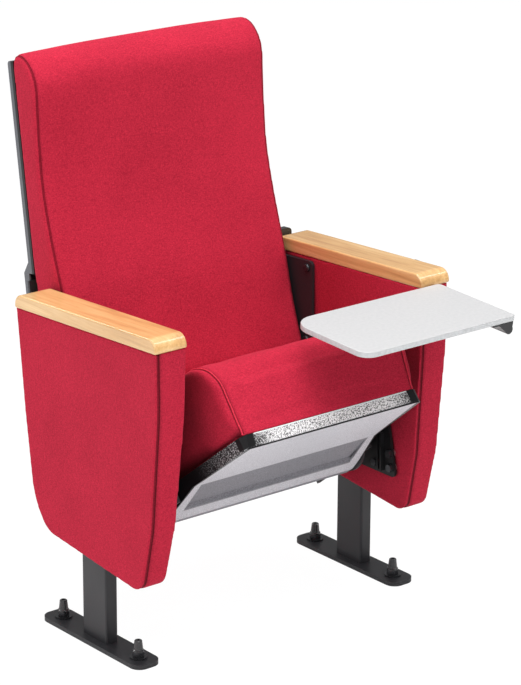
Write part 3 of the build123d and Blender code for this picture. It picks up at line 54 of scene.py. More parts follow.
# %% Place the camera
camera_place = Vector((-3.087254, -3.875050, 2.151019))
azimuth = math.radians(-39.132)
elevation = math.radians(18.558)
roll = math.radians(0.3)
backwards = Vector((math.sin(azimuth) * math.cos(elevation),
                    -math.cos(azimuth) * math.cos(elevation), math.sin(elevation)))
level_right = (-backwards).cross(Vector((0, 0, 1))).normalized()
level_up = level_right.cross(-backwards)
camera_right = math.cos(roll) * level_right + math.sin(roll) * level_up
camera_up = -math.sin(roll) * level_right + math.cos(roll) * level_up
SENSOR = 36
FOCAL_PIXELS = 2991.05
FRAME_HEIGHT = 685
lens = bpy.data.cameras.new("photo_camera")
lens.sensor_width = SENSOR
lens.lens = FOCAL_PIXELS * SENSOR / FRAME_HEIGHT
lens.clip_end = 60
camera = bpy.data.objects.new("photo_camera", lens)
camera.matrix_world = Matrix.Translation(camera_place) @ Matrix(
    (camera_right, camera_up, backwards)).transposed().to_4x4()
bpy.context.scene.collection.objects.link(camera)
bpy.context.scene.camera = camera
print("camera stands", round(camera_place.length, 2), "m from the origin, lens", round(lens.lens, 1), "mm")

# %% [markdown]
# ## The studio
# The photograph has a white ground and soft light from above: the tops and the outer side of the left
# panel are bright, and the gaps beside the seat are deep red. Two wide lamps hang over the front and
# the top, weaker ones light the left side and reach under the tablet, and two small ones draw the
# streaks on the lacquered armrests. The world is a dome, bright overhead and nearly dark at the floor,
# so that hollows stay dark. Only the camera sees it as plain white.

# %% Lamps and world
def soft_lamp(name, place, aim, size, watts):
    """A square lamp that looks at a point."""
    data = bpy.data.lights.new(name, "AREA")
    data.size = size
    data.energy = watts
    lamp = bpy.data.objects.new(name, data)
    lamp.location = place
    lamp.rotation_euler = (Vector(aim) - Vector(place)).to_track_quat("-Z", "Y").to_euler()
    bpy.context.scene.collection.objects.link(lamp)
    return lamp

lamps = [
    soft_lamp("front_lamp", (-0.8, -2.2, 3.4), (0, 0, 0.5), 2.4, 74),
    soft_lamp("low_lamp", (0.5, -3.6, 1.2), (0, 0, 0.5), 1.4, 9),
    soft_lamp("top_lamp", (0.0, 0.2, 4.2), (0, 0, 0.5), 1.8, 78),
    soft_lamp("side_lamp", (-3.3, 1.2, 1.5), (0, 0, 0.4), 1.5, 30),
    soft_lamp("rim_lamp", (-1.4, 3.0, 2.9), (0, 0, 0.6), 0.9, 28),
    soft_lamp("glint_lamp", (2.15, -1.3, 3.3), (0, 0, 0.6), 1.0, 17),
]
world = bpy.data.worlds.new("pale_world")
world.use_nodes = True
bpy.context.scene.world = world
tree = world.node_tree
ground = tree.nodes["Background"]
ground.inputs["Color"].default_value = (1, 1, 1, 1)
path = tree.nodes.new("ShaderNodeLightPath")
seen = tree.nodes.new("ShaderNodeMath")
seen.operation = "MAXIMUM"
tree.links.new(path.outputs["Is Camera Ray"], seen.inputs[0])
tree.links.new(path.outputs["Is Transmission Ray"], seen.inputs[1])
height = tree.nodes.new("ShaderNodeSeparateXYZ")
tree.links.new(tree.nodes.new("ShaderNodeTexCoord").outputs["Generated"], height.inputs[0])
dome = tree.nodes.new("ShaderNodeMapRange")
DOME_FOOT, DOME_TOP = 0.05, 0.68
for label, value in (("From Min", -0.1), ("From Max", 0.9), ("To Min", DOME_FOOT), ("To Max", DOME_TOP)):
    dome.inputs[label].default_value = value
tree.links.new(height.outputs["Z"], dome.inputs["Value"])
level = tree.nodes.new("ShaderNodeMapRange")
level.inputs["To Max"].default_value = 1.0
tree.links.new(dome.outputs["Result"], level.inputs["To Min"])
tree.links.new(seen.outputs[0], level.inputs["Value"])
tree.links.new(level.outputs["Result"], ground.inputs["Strength"])
bpy.context.scene.view_settings.view_transform = "Standard"
print("lamps:", [lamp.name for lamp in lamps])

# %% [markdown]
# ## A floor
# A wide pale sheet under the foot plates. Seen by the camera it glows almost white, as the paper of a
# studio does, and the seat's shadow still falls on it.

# %% Floor
FLOOR_HALF = 9.0
FLOOR_GAP = 0.0005
floor_mesh = bpy.data.meshes.new("floor")
bm = bmesh.new()
bmesh.ops.create_grid(bm, x_segments=1, y_segments=1, size=FLOOR_HALF)
bm.to_mesh(floor_mesh)
bm.free()
floor = bpy.data.objects.new("floor", floor_mesh)
floor.location = (0, 0, -FLOOR_GAP)
bpy.context.scene.collection.objects.link(floor)
paper = bpy.data.materials.new("floor_paper")
paper.use_nodes = True
tree = paper.node_tree
matte = tree.nodes["Principled BSDF"]
matte.inputs["Base Color"].default_value = (0.86, 0.86, 0.86, 1)
matte.inputs["Roughness"].default_value = 0.9
glow = tree.nodes.new("ShaderNodeEmission")
glow.inputs["Color"].default_value = (1, 1, 1, 1)
glow.inputs["Strength"].default_value = 1.04
path = tree.nodes.new("ShaderNodeLightPath")
share = tree.nodes.new("ShaderNodeMath")
share.operation = "MULTIPLY"
share.inputs[1].default_value = 0.92
mix = tree.nodes.new("ShaderNodeMixShader")
tree.links.new(path.outputs["Is Camera Ray"], share.inputs[0])
tree.links.new(share.outputs[0], mix.inputs["Fac"])
tree.links.new(matte.outputs[0], mix.inputs[1])
tree.links.new(glow.outputs[0], mix.inputs[2])
tree.links.new(mix.outputs[0], tree.nodes["Material Output"].inputs["Surface"])
floor_mesh.materials.append(paper)
print("floor is", round(floor.dimensions.x, 1), "m wide")

# %% [markdown]
# ## Helpers for materials
# Every finish is a Principled shader with a few nodes in front of it. The helpers below add a node,
# set its inputs and link it, so each finish reads as a short recipe.

# %% Node helpers
def add(tree, kind, inputs=None, **settings):
    """A new node, with its settings and inputs filled in; an input may be a value or another socket."""
    made = tree.nodes.new("ShaderNode" + kind)
    for key, value in settings.items():
        setattr(made, key, value)
    for key, value in (inputs or {}).items():
        if isinstance(value, bpy.types.NodeSocket):
            tree.links.new(value, made.inputs[key])
        else:
            made.inputs[key].default_value = value
    return made


def ramp(tree, factor, stops):
    """A colour ramp from (position, colour) pairs."""
    made = add(tree, "ValToRGB", {"Fac": factor})
    points = made.color_ramp.elements
    while len(points) < len(stops):
        points.new(0.5)
    for point, (place, colour) in zip(points, stops):
        point.position = place
        point.color = (*colour, 1) if len(colour) == 3 else colour
    return made.outputs["Color"]


def finish_material(name, roughness, coat=0.0, coat_roughness=0.2, sheen=0.0, metallic=0.0, specular=0.5):
    """A new material and the shader, tree and object coordinates to build on."""
    made = bpy.data.materials.new(name)
    made.use_nodes = True
    tree = made.node_tree
    shader = tree.nodes["Principled BSDF"]
    shader.inputs["Roughness"].default_value = roughness
    shader.inputs["Coat Weight"].default_value = coat
    shader.inputs["Coat Roughness"].default_value = coat_roughness
    shader.inputs["Sheen Weight"].default_value = sheen
    shader.inputs["Metallic"].default_value = metallic
    shader.inputs["Specular IOR Level"].default_value = specular
    coords = tree.nodes.new("ShaderNodeTexCoord").outputs["Object"]
    return made, tree, shader, coords


def dress(piece, material):
    """Puts a finish on a piece."""
    piece.data.materials.clear()
    piece.data.materials.append(material)
    return piece


def dress_nodes(material, *names):
    """Puts a finish on CAD nodes."""
    for name in names:
        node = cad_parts[name]
        node.data.materials.clear()
        node.data.materials.append(material)


def step_at(tree, value, low, high):
    """0 at low, 1 at high, smooth between."""
    return add(tree, "MapRange", {"Value": value, "From Min": low, "From Max": high},
               interpolation_type="SMOOTHSTEP").outputs["Result"]


def times(tree, first, second):
    """The product of two values, each a number or a socket."""
    return add(tree, "Math", {0: first, 1: second}, operation="MULTIPLY").outputs[0]

print("helpers ready")

# %% [markdown]
# ## Effects that several finishes share
# Moulded plastic, powder coat and rubber all have a fine pebbled skin, only at different sizes, so one
# group makes it. Its inputs are the size of the pebbles and how deep they look. A second group breaks
# up a colour with faint blotches, as handling and dust do on every surface.

# %% Shared groups
def new_group(name, inputs, outputs):
    """An empty node group with named sockets."""
    group = bpy.data.node_groups.new(name, "ShaderNodeTree")
    for label, kind, value in inputs:
        socket = group.interface.new_socket(label, in_out="INPUT", socket_type=kind)
        if value is not None:
            socket.default_value = value
    for label, kind in outputs:
        group.interface.new_socket(label, in_out="OUTPUT", socket_type=kind)
    return group, group.nodes.new("NodeGroupInput"), group.nodes.new("NodeGroupOutput")


pebble_skin, source, sink = new_group(
    "pebble_skin",
    [("Vector", "NodeSocketVector", None), ("Pebbles per metre", "NodeSocketFloat", 500.0),
     ("Softness", "NodeSocketFloat", 0.5)],
    [("Height", "NodeSocketFloat"), ("Speckle", "NodeSocketFloat")])
cells = add(pebble_skin, "TexVoronoi", {"Vector": source.outputs["Vector"],
                                        "Scale": source.outputs["Pebbles per metre"]},
            feature="SMOOTH_F1")
haze = add(pebble_skin, "TexNoise", {"Vector": source.outputs["Vector"],
                                     "Scale": source.outputs["Pebbles per metre"], "Detail": 3.0})
blend = add(pebble_skin, "Mix", {"Factor": source.outputs["Softness"], "A": cells.outputs["Distance"],
                                 "B": haze.outputs["Fac"]})
pebble_skin.links.new(blend.outputs["Result"], sink.inputs["Height"])
pebble_skin.links.new(haze.outputs["Fac"], sink.inputs["Speckle"])

handling, source, sink = new_group(
    "handling_marks",
    [("Vector", "NodeSocketVector", None), ("Color", "NodeSocketColor", (0.5, 0.5, 0.5, 1)),
     ("Roughness", "NodeSocketFloat", 0.5), ("Amount", "NodeSocketFloat", 0.15)],
    [("Color", "NodeSocketColor"), ("Roughness", "NodeSocketFloat")])
blotch = add(handling, "TexNoise", {"Vector": source.outputs["Vector"], "Scale": 14.0, "Detail": 6.0,
                                    "Roughness": 0.6})
centred = add(handling, "Math", {0: blotch.outputs["Fac"], 1: 0.5}, operation="SUBTRACT")
swing = times(handling, centred.outputs[0], source.outputs["Amount"])
lift = add(handling, "Math", {0: swing, 1: 1.0}, operation="ADD").outputs[0]
tinted = add(handling, "VectorMath", {0: source.outputs["Color"], "Scale": lift}, operation="SCALE")
rough = add(handling, "Math", {0: source.outputs["Roughness"], 1: swing}, operation="ADD", use_clamp=True)
handling.links.new(tinted.outputs["Vector"], sink.inputs["Color"])
handling.links.new(rough.outputs[0], sink.inputs["Roughness"])


def use_group(tree, group, inputs):
    """Places a shared group in a material's tree."""
    made = tree.nodes.new("ShaderNodeGroup")
    made.node_tree = group
    for key, value in inputs.items():
        if isinstance(value, bpy.types.NodeSocket):
            tree.links.new(value, made.inputs[key])
        else:
            made.inputs[key].default_value = value
    return made

print("groups:", [group.name for group in bpy.data.node_groups])

# %% [markdown]
# ## Red upholstery cloth
# A plain weave in crimson. Seen close it is made of short threads that cross; from a step away it looks
# slightly heathered. The threads are noise drawn out along the height for the warp and level for the
# weft, so the weave needs no unwrapping and never lines up with the picture's own grid. A sewn piece
# carries its distance from the nearest seam as an attribute: shade is painted into the colour, darkest in
# the stitch groove and lighter on the inner side of the valley the stitches pull in. An Ambient Occlusion
# node paints more shade into the colour in the narrow gaps beside the seat, where light hardly enters.

# %% Cloth
# Painted shade along the seams: how much the stitch groove and its valley are darkened, and over which
# distances.
STITCH_SHADE, STITCH_FADE = -0.6, (0.0045, 0.0018)
VALLEY_SHADE, VALLEY_FADE = -0.22, (0.0110, 0.0020)
# Reach of the painted shade in narrow gaps.
GAP_REACH = 0.12


def stretched_noise(tree, coords, scale):
    """Noise drawn out along the axes where the scale is small."""
    placed = add(tree, "Mapping", {"Vector": coords, "Scale": scale}).outputs[0]
    return add(tree, "TexNoise", {"Vector": placed, "Scale": 1.0, "Detail": 2.0}).outputs["Fac"]


def cloth_material(name, dark, light, roughness, sheen, with_painted_shade=False):
    """Woven cloth between two tones; with painted shade it is darker near a piece's seams and in narrow
    gaps.
    """
    made, tree, shader, coords = finish_material(name, roughness, sheen=sheen, specular=0.15)
    shader.inputs["Sheen Roughness"].default_value = 0.45
    shader.inputs["Sheen Tint"].default_value = (1.0, 0.3, 0.4, 1)
    warp = stretched_noise(tree, coords, (950.0, 950.0, 130.0))
    weft = stretched_noise(tree, coords, (150.0, 150.0, 950.0))
    threads = add(tree, "Mix", {"Factor": 0.5, "A": warp, "B": weft}).outputs["Result"]
    heather = add(tree, "TexNoise", {"Vector": coords, "Scale": 400.0, "Detail": 3.0, "Roughness": 0.7})
    cloud = add(tree, "TexNoise", {"Vector": coords, "Scale": 8.0, "Detail": 4.0})
    tone = add(tree, "Mix", {"Factor": 0.45, "A": heather.outputs["Fac"], "B": threads})
    cloudy = add(tree, "Mix", {"Factor": 0.12, "A": tone.outputs["Result"], "B": cloud.outputs["Fac"]})
    colour = ramp(tree, cloudy.outputs["Result"], [(0.36, dark), (0.64, light)])
    if with_painted_shade:
        # Painted shade: the colour is darkened in the seam groove and on the inner side of its valley.
        gap = add(tree, "Attribute", attribute_name="seam").outputs["Fac"]
        near = add(tree, "Math", {0: gap}, operation="ABSOLUTE").outputs[0]
        stitch = step_at(tree, near, *STITCH_FADE)
        valley = step_at(tree, near, *VALLEY_FADE)
        inner = step_at(tree, gap, 0.0010, -0.0010)
        valley_painted_shade = add(tree, "Math", {0: times(tree, valley, inner), 1: VALLEY_SHADE, 2: 1.0},
                  operation="MULTIPLY_ADD").outputs[0]
        seam_painted_shade = add(tree, "Math", {0: stitch, 1: STITCH_SHADE, 2: valley_painted_shade}, operation="MULTIPLY_ADD").outputs[0]
        # Painted shade: an Ambient Occlusion node darkens the colour where parts close in around a narrow
        # gap.
        openness = add(tree, "AmbientOcclusion", {"Distance": GAP_REACH}, samples=8).outputs["AO"]
        gap_painted_shade = add(tree, "MapRange", {"Value": openness, "From Min": 0.1, "From Max": 0.6, "To Min": 0.25,
                                        "To Max": 1.0}).outputs["Result"]
        colour = add(tree, "VectorMath", {0: colour, "Scale": times(tree, seam_painted_shade, gap_painted_shade)},
                     operation="SCALE").outputs[0]
    tree.links.new(colour, shader.inputs["Base Color"])
    height = add(tree, "Mix", {"Factor": 0.5, "A": threads, "B": heather.outputs["Fac"]})
    bump = add(tree, "Bump", {"Strength": 0.35, "Distance": 0.0008, "Height": height.outputs["Result"]})
    tree.links.new(bump.outputs["Normal"], shader.inputs["Normal"])
    return made

red_cloth = cloth_material("red_cloth", (0.30, 0.008, 0.025), (0.64, 0.026, 0.062), 0.9, 0.06, with_painted_shade=True)
# A lighter copy of the cloth for the piping: a painted highlight along the cords.
red_cord_highlit = cloth_material("red_cord_cloth", (0.44, 0.014, 0.036), (0.84, 0.044, 0.085), 0.7, 0.06)
# A darker copy of the cloth for the seam threads: painted shade of the seam grooves.
red_seam_shaded = cloth_material("red_seam_cloth", (0.17, 0.003, 0.012), (0.32, 0.007, 0.026), 0.85, 0.02)
print("cloth:", red_cloth.name, red_cord_highlit.name, red_seam_shaded.name)

# %% [markdown]
# ## Lacquered beech
# Beech is pale and even, with fine lines along the length and short brown flecks. Both come from noise
# that is stretched along the armrest. The clear lacquer is the shader's coat layer, smooth enough for
# bright streaks on the rounded edges. The boards inside the cushions get a plain plywood.

# %% Beech
beech, tree, shader, coords = finish_material("lacquered_beech", 0.40, coat=1.0, coat_roughness=0.07)
along = add(tree, "Mapping", {"Vector": coords, "Scale": (150.0, 5.0, 150.0)})
lines = add(tree, "TexNoise", {"Vector": along.outputs[0], "Scale": 1.0, "Detail": 7.0, "Roughness": 0.62})
broad = add(tree, "Mapping", {"Vector": coords, "Scale": (26.0, 2.2, 30.0)})
bands = add(tree, "TexNoise", {"Vector": broad.outputs[0], "Scale": 1.0, "Detail": 4.0, "Distortion": 0.6})
dash = add(tree, "Mapping", {"Vector": coords, "Scale": (700.0, 70.0, 700.0)})
flecks = add(tree, "TexNoise", {"Vector": dash.outputs[0], "Scale": 1.0, "Detail": 2.0})
mixed = add(tree, "Mix", {"Factor": 0.45, "A": lines.outputs["Fac"], "B": bands.outputs["Fac"]})
wood = ramp(tree, mixed.outputs["Result"], [(0.32, (0.50, 0.25, 0.085)), (0.5, (0.71, 0.41, 0.155)),
                                            (0.68, (0.86, 0.57, 0.26))])
fleck = ramp(tree, flecks.outputs["Fac"], [(0.62, (1, 1, 1)), (0.74, (0.74, 0.6, 0.45))])
spotted = add(tree, "Mix", {"Factor": 0.5}, data_type="RGBA", blend_type="MULTIPLY")
tree.links.new(wood, spotted.inputs["A"])
tree.links.new(fleck, spotted.inputs["B"])
tree.links.new(spotted.outputs["Result"], shader.inputs["Base Color"])
bump = add(tree, "Bump", {"Strength": 0.12, "Distance": 0.0003, "Height": lines.outputs["Fac"]})
tree.links.new(bump.outputs["Normal"], shader.inputs["Normal"])
dress_nodes(beech, "left_armrest", "right_armrest")

plywood, tree, shader, coords = finish_material("raw_plywood", 0.75)
plies = add(tree, "TexWave", {"Vector": coords, "Scale": 95.0, "Distortion": 1.5}, wave_type="BANDS",
            bands_direction="Z")
tree.links.new(ramp(tree, plies.outputs["Fac"], [(0.2, (0.42, 0.28, 0.15)), (0.8, (0.62, 0.46, 0.28))]),
               shader.inputs["Base Color"])
dress_nodes(plywood, "left_side_core", "right_side_core", "seat_board", "back_board")
print("wood:", beech.name, plywood.name)

# %% [markdown]
# ## Coated and bare metal
# The posts, foot plates and brackets are powder coated: near black, satin, with the slight orange peel
# that powder leaves. The hinge brackets sit deep in the gap beside the seat; their coat is a blacker,
# less shiny copy, painted shade for that gap. The blackened bolts are glossier. Pins and hidden screws
# are zinc plated.

# %% Metals
def coated(name, colour, roughness, pebbles, depth, coat=0.0, specular=0.5, metallic=0.0):
    """A painted or moulded surface: one colour with handling marks and a pebbled skin."""
    made, tree, shader, coords = finish_material(name, roughness, coat=coat, specular=specular,
                                                 metallic=metallic)
    marks = use_group(tree, handling, {"Vector": coords, "Color": (*colour, 1), "Roughness": roughness,
                                       "Amount": 0.3})
    tree.links.new(marks.outputs["Color"], shader.inputs["Base Color"])
    tree.links.new(marks.outputs["Roughness"], shader.inputs["Roughness"])
    skin = use_group(tree, pebble_skin, {"Vector": coords, "Pebbles per metre": pebbles, "Softness": 0.5})
    bump = add(tree, "Bump", {"Strength": 0.3, "Distance": depth, "Height": skin.outputs["Height"]})
    tree.links.new(bump.outputs["Normal"], shader.inputs["Normal"])
    return made

black_powder = coated("black_powder_coat", (0.021, 0.021, 0.024), 0.42, 420.0, 0.0004, specular=0.45)
# A darker, duller copy of the powder coat: painted shade for the hinge brackets in the gap.
black_enamel = coated("black_enamel", (0.009, 0.009, 0.010), 0.45, 500.0, 0.0003, specular=0.28)
black_bolt = coated("blackened_steel", (0.05, 0.05, 0.055), 0.28, 900.0, 0.0001, metallic=0.7)
black_alloy = coated("black_anodised", (0.014, 0.014, 0.016), 0.3, 1200.0, 0.0001)
zinc = coated("zinc_plated_steel", (0.58, 0.58, 0.6), 0.32, 300.0, 0.0001, metallic=1.0)
raw_bar = coated("raw_steel_bar", (0.16, 0.15, 0.15), 0.6, 200.0, 0.0003, metallic=0.7)
dress_nodes(black_powder, "left_base_plate", "right_base_plate", "left_post", "right_post",
            "left_back_bracket", "right_back_bracket",
            "left_seat_arm", "right_seat_arm", "left_arm_bearer", "right_arm_bearer",
            "tablet_pivot_plate", "tablet_arm")
dress_nodes(black_enamel, "left_hinge_bracket", "right_hinge_bracket")
dress_nodes(black_bolt, "left_hinge_bolts", "right_hinge_bolts", "anchor_washers", "anchor_nuts",
            "back_bracket_screws", "flange_screws", "seat_arm_screws", "shell_screws",
            "tablet_plate_screws", "tablet_pivot_nut")
dress_nodes(black_alloy, "hinge_bar")
dress_nodes(zinc, "left_pivot_pin", "right_pivot_pin", "left_stop_stud", "right_stop_stud",
            "left_spacer_sleeves", "right_spacer_sleeves", "arm_screws", "seat_board_screws",
            "tablet_screws", "tablet_pivot_pin")
dress_nodes(raw_bar, "counterweight")
print("metals:", [m.name for m in bpy.data.materials if "steel" in m.name or "coat" in m.name])

# %% [markdown]
# ## Plastics and rubber
# The anchor caps, bushes and the block behind the armrest are plain black mouldings. The rubber of the
# stop sleeves is duller.

# %% Plain mouldings
black_plastic = coated("black_moulding", (0.016, 0.016, 0.018), 0.3, 700.0, 0.0002, coat=0.5)
black_rubber = coated("black_rubber", (0.02, 0.02, 0.02), 0.7, 400.0, 0.0003)
dress_nodes(black_plastic, "anchor_caps", "arm_end_block", "left_seat_bush", "right_seat_bush")
dress_nodes(black_rubber, "left_stop_sleeve", "right_stop_sleeve")
print("mouldings:", black_plastic.name, black_rubber.name)

# %% [markdown]
# ## The seat pan's grained grey
# The front band of the pan has a coarse grain of light and dark grey; its lightest specks are painted
# glints, and the band is painted darker towards its ends as shade. Its underside is an even pale grey
# with a fine grain, with painted shade in the recess and on the rear strip. The sides and the cut front
# corners are nearly black, a dark line parts band and underside, and a painted highlight runs along the
# band's top. The shader works in the pan's own directions: the coordinates are measured from the hinge
# and turned by the pan's slope, and the masks come from where a point lies along, across and above the pan.

# %% Seat pan
SEAT_ORIGIN = (0.0, -0.0586, 0.2683)
SEAT_SLOPE = math.radians(-38.4)
PAN_NOSE, PAN_NOSE_HALF_WIDTH = -0.27, 0.1845
PAN_ROOT, PAN_ROOT_HALF_WIDTH = -0.02, 0.2115
PAN_CUT_ACROSS, PAN_CUT_ALONG = 0.010, 0.008
PAN_FRONT = -0.265
PAN_SKIRT = -0.0215
PAN_TAIL = 0.009
RECESS_FRONT, RECESS_REAR, RECESS_HALF_WIDTH = -0.1020, -0.0235, 0.1870


def in_own_frame(tree, coords, origin, slope):
    """Coordinates along a tilted part: turned about X and measured from its own origin, as three sockets."""
    moved = add(tree, "VectorMath", {0: coords, 1: origin}, operation="SUBTRACT")
    turned = add(tree, "VectorRotate", {"Vector": moved.outputs[0], "Angle": -slope}, rotation_type="X_AXIS")
    split = add(tree, "SeparateXYZ", {"Vector": turned.outputs[0]})
    return turned.outputs[0], split.outputs["X"], split.outputs["Y"], split.outputs["Z"]


def blend_colour(tree, factor, first, second):
    """Colour between two, each a value or a socket."""
    made = add(tree, "Mix", {"Factor": factor}, data_type="RGBA")
    for socket, value in ((made.inputs["A"], first), (made.inputs["B"], second)):
        if isinstance(value, bpy.types.NodeSocket):
            tree.links.new(value, socket)
        else:
            socket.default_value = (*value, 1)
    return made.outputs["Result"]


pan_grey, tree, shader, coords = finish_material("grained_pan", 0.5, specular=0.22)
own, across, along, above = in_own_frame(tree, coords, SEAT_ORIGIN, SEAT_SLOPE)
coarse = use_group(tree, pebble_skin, {"Vector": own, "Pebbles per metre": 460.0, "Softness": 0.85})
fine = use_group(tree, pebble_skin, {"Vector": own, "Pebbles per metre": 700.0, "Softness": 0.7})
speckle = coarse.outputs["Speckle"]
# The band's grain: its lightest specks are painted glints on the pebbled skin.
bright = ramp(tree, speckle, [(0.38, (0.07, 0.07, 0.072)), (0.46, (0.44, 0.43, 0.435)),
                              (0.54, (0.84, 0.82, 0.83))])
dark = ramp(tree, speckle, [(0.46, (0.010, 0.010, 0.011)), (0.53, (0.10, 0.10, 0.105)),
                            (0.62, (0.5, 0.5, 0.51))])
black = (0.005, 0.005, 0.006)
belly = ramp(tree, fine.outputs["Speckle"], [(0.36, (0.41, 0.40, 0.43)), (0.64, (0.74, 0.73, 0.77))])
# Painted shade for the recess and the rear strip of the underside.
shade = ramp(tree, fine.outputs["Speckle"], [(0.36, (0.16, 0.155, 0.175)), (0.64, (0.31, 0.305, 0.33))])
aside = add(tree, "Math", {0: across}, operation="ABSOLUTE").outputs[0]
flare = add(tree, "MapRange", {"Value": along, "From Min": PAN_NOSE, "From Max": PAN_ROOT,
                               "To Min": PAN_NOSE_HALF_WIDTH,
                               "To Max": PAN_ROOT_HALF_WIDTH}).outputs["Result"]
short = add(tree, "Math", {0: flare, 1: aside}, operation="SUBTRACT").outputs[0]
front = step_at(tree, along, PAN_FRONT + 0.0015, PAN_FRONT - 0.0015)
side = step_at(tree, short, 0.0022, 0.0012)
behind = add(tree, "Math", {0: along, 1: PAN_NOSE}, operation="SUBTRACT").outputs[0]
cut = add(tree, "Math", {0: times(tree, short, 1 / PAN_CUT_ACROSS),
                         1: times(tree, behind, 1 / PAN_CUT_ALONG)}, operation="ADD").outputs[0]
skirt = step_at(tree, above, PAN_SKIRT + 0.001, PAN_SKIRT - 0.001)
walls = step_at(tree, above, PAN_SKIRT - 0.001, PAN_SKIRT + 0.001)
corner = times(tree, step_at(tree, cut, 1.75, 1.45), walls)
parting = times(tree, skirt, front)
# Painted highlight: a light line along the top edge of the front band.
painted_edge_highlight = times(tree, step_at(tree, above, -0.0022, -0.0012), front)
floor_front = step_at(tree, along, RECESS_FRONT - 0.001, RECESS_FRONT + 0.001)
floor_rear = step_at(tree, along, RECESS_REAR + 0.001, RECESS_REAR - 0.001)
floor_side = step_at(tree, aside, RECESS_HALF_WIDTH + 0.001, RECESS_HALF_WIDTH - 0.001)
recess = times(tree, times(tree, floor_front, floor_rear), floor_side)
tail = step_at(tree, along, PAN_TAIL - 0.001, PAN_TAIL + 0.001)
# Painted shade: the band is darker towards its ends and lightest in the middle.
band = blend_colour(tree, step_at(tree, short, 0.008, 0.060), dark, bright)
flank = blend_colour(tree, step_at(tree, along, -0.120, -0.240), black, dark)
# Painted shade in the recess, then on the rear strip.
finish = blend_colour(tree, recess, belly, shade)
finish = blend_colour(tree, tail, finish, shade)
finish = blend_colour(tree, front, finish, band)
finish = blend_colour(tree, side, finish, flank)
finish = blend_colour(tree, painted_edge_highlight, finish, (0.8, 0.8, 0.81))
finish = blend_colour(tree, parting, finish, black)
finish = blend_colour(tree, corner, finish, black)
tree.links.new(finish, shader.inputs["Base Color"])
bump = add(tree, "Bump", {"Strength": 0.4, "Distance": 0.0006, "Height": coarse.outputs["Height"]})
tree.links.new(bump.outputs["Normal"], shader.inputs["Normal"])
dress_nodes(pan_grey, "seat_pan")
print("pan finish:", pan_grey.name)

# %% [markdown]
# ## The back shell
# The shell is dark grey with a fine grain. Its front rim lies in the cushion's shade and reads as a
# black line between the two, so the grey starts a few millimetres behind the board's face.

# %% Back shell
BACK_ORIGIN = (0.0, 0.2074, 0.392)
BACK_SLOPE = math.radians(-8.2)
shell_grey, tree, shader, coords = finish_material("grey_shell", 0.5)
own, across, along, above = in_own_frame(tree, coords, BACK_ORIGIN, BACK_SLOPE)
skin = use_group(tree, pebble_skin, {"Vector": own, "Pebbles per metre": 800.0, "Softness": 0.5})
grey = ramp(tree, skin.outputs["Speckle"], [(0.3, (0.10, 0.105, 0.12)), (0.7, (0.145, 0.15, 0.165))])
clear_of_pad = step_at(tree, along, 0.0060, 0.0080)
tree.links.new(blend_colour(tree, clear_of_pad, black, grey), shader.inputs["Base Color"])
bump = add(tree, "Bump", {"Strength": 0.3, "Distance": 0.0004, "Height": skin.outputs["Height"]})
tree.links.new(bump.outputs["Normal"], shader.inputs["Normal"])
dress_nodes(shell_grey, "back_shell")
print("shell finish:", shell_grey.name)

# %% [markdown]
# ## The tablet's laminate
# The writing board is white on top, with a grey edge band. The white skin laps over the rim a little.
# The colour is chosen by the height of a point in the board's own frame.

# %% Tablet
TABLET_ORIGIN = (0.0, -0.2116, 0.591)
TABLET_SLOPE = math.radians(2.4)
laminate, tree, shader, coords = finish_material("tablet_laminate", 0.35, coat=0.2, coat_roughness=0.25)
own, across, along, above = in_own_frame(tree, coords, TABLET_ORIGIN, TABLET_SLOPE)
top = step_at(tree, above, -0.0022, -0.0012)
faint = add(tree, "TexNoise", {"Vector": own, "Scale": 160.0, "Detail": 5.0})
white = ramp(tree, faint.outputs["Fac"], [(0.3, (0.49, 0.495, 0.50)), (0.7, (0.54, 0.54, 0.545))])
edge = ramp(tree, faint.outputs["Fac"], [(0.3, (0.50, 0.51, 0.52)), (0.7, (0.62, 0.63, 0.64))])
skin = add(tree, "Mix", {"Factor": top}, data_type="RGBA")
tree.links.new(edge, skin.inputs["A"])
tree.links.new(white, skin.inputs["B"])
tree.links.new(skin.outputs["Result"], shader.inputs["Base Color"])
grain = use_group(tree, pebble_skin, {"Vector": own, "Pebbles per metre": 900.0, "Softness": 0.6})
bump = add(tree, "Bump", {"Strength": 0.05, "Distance": 0.0002, "Height": grain.outputs["Height"]})
tree.links.new(bump.outputs["Normal"], shader.inputs["Normal"])
dress_nodes(laminate, "tablet_board")
print("tablet finish:", laminate.name)

# %% [markdown]
# ## How the soft pieces are made
# Each cushion starts as a cage: its side profile, drawn from arcs, is repeated across the width and
# the ribs are bridged, like the hull of a boat. A voxel remesh turns the cage into even cloth. Then
# Blender's cloth solver inflates it, as tight foam pushes its cover out, while the seams and the face
# that rests on wood stay put. Last, the seams are pressed in and a cord is laid along them.

# %% Drawing a profile
MILLI = 0.001


def arc(first, middle, last, spacing=9.0):
    """Points on the circle through three points, from the first one up to just before the last."""
    (ax, ay), (bx, by), (cx, cy) = first, middle, last
    double = 2 * (ax * (by - cy) + bx * (cy - ay) + cx * (ay - by))
    a_square, b_square, c_square = (x * x + y * y for x, y in (first, middle, last))
    centre = Vector(((a_square * (by - cy) + b_square * (cy - ay) + c_square * (ay - by)) / double,
                     (a_square * (cx - bx) + b_square * (ax - cx) + c_square * (bx - ax)) / double))
    spokes = [Vector(point) - centre for point in (first, middle, last)]
    sweep = spokes[0].angle_signed(spokes[1]) + spokes[1].angle_signed(spokes[2])
    count = max(2, round(abs(sweep) * spokes[0].length / spacing))
    return [tuple(centre + Matrix.Rotation(-sweep * part / count, 2) @ spokes[0]) for part in range(count)]


def soften(points, rounds):
    """Evens out the bends of a run of points; the ends stay."""
    for _ in range(rounds):
        points = [points[0]] + [tuple((Vector(a) + 2 * Vector(b) + Vector(c)) / 4)
                                for a, b, c in zip(points, points[1:], points[2:])] + [points[-1]]
    return points


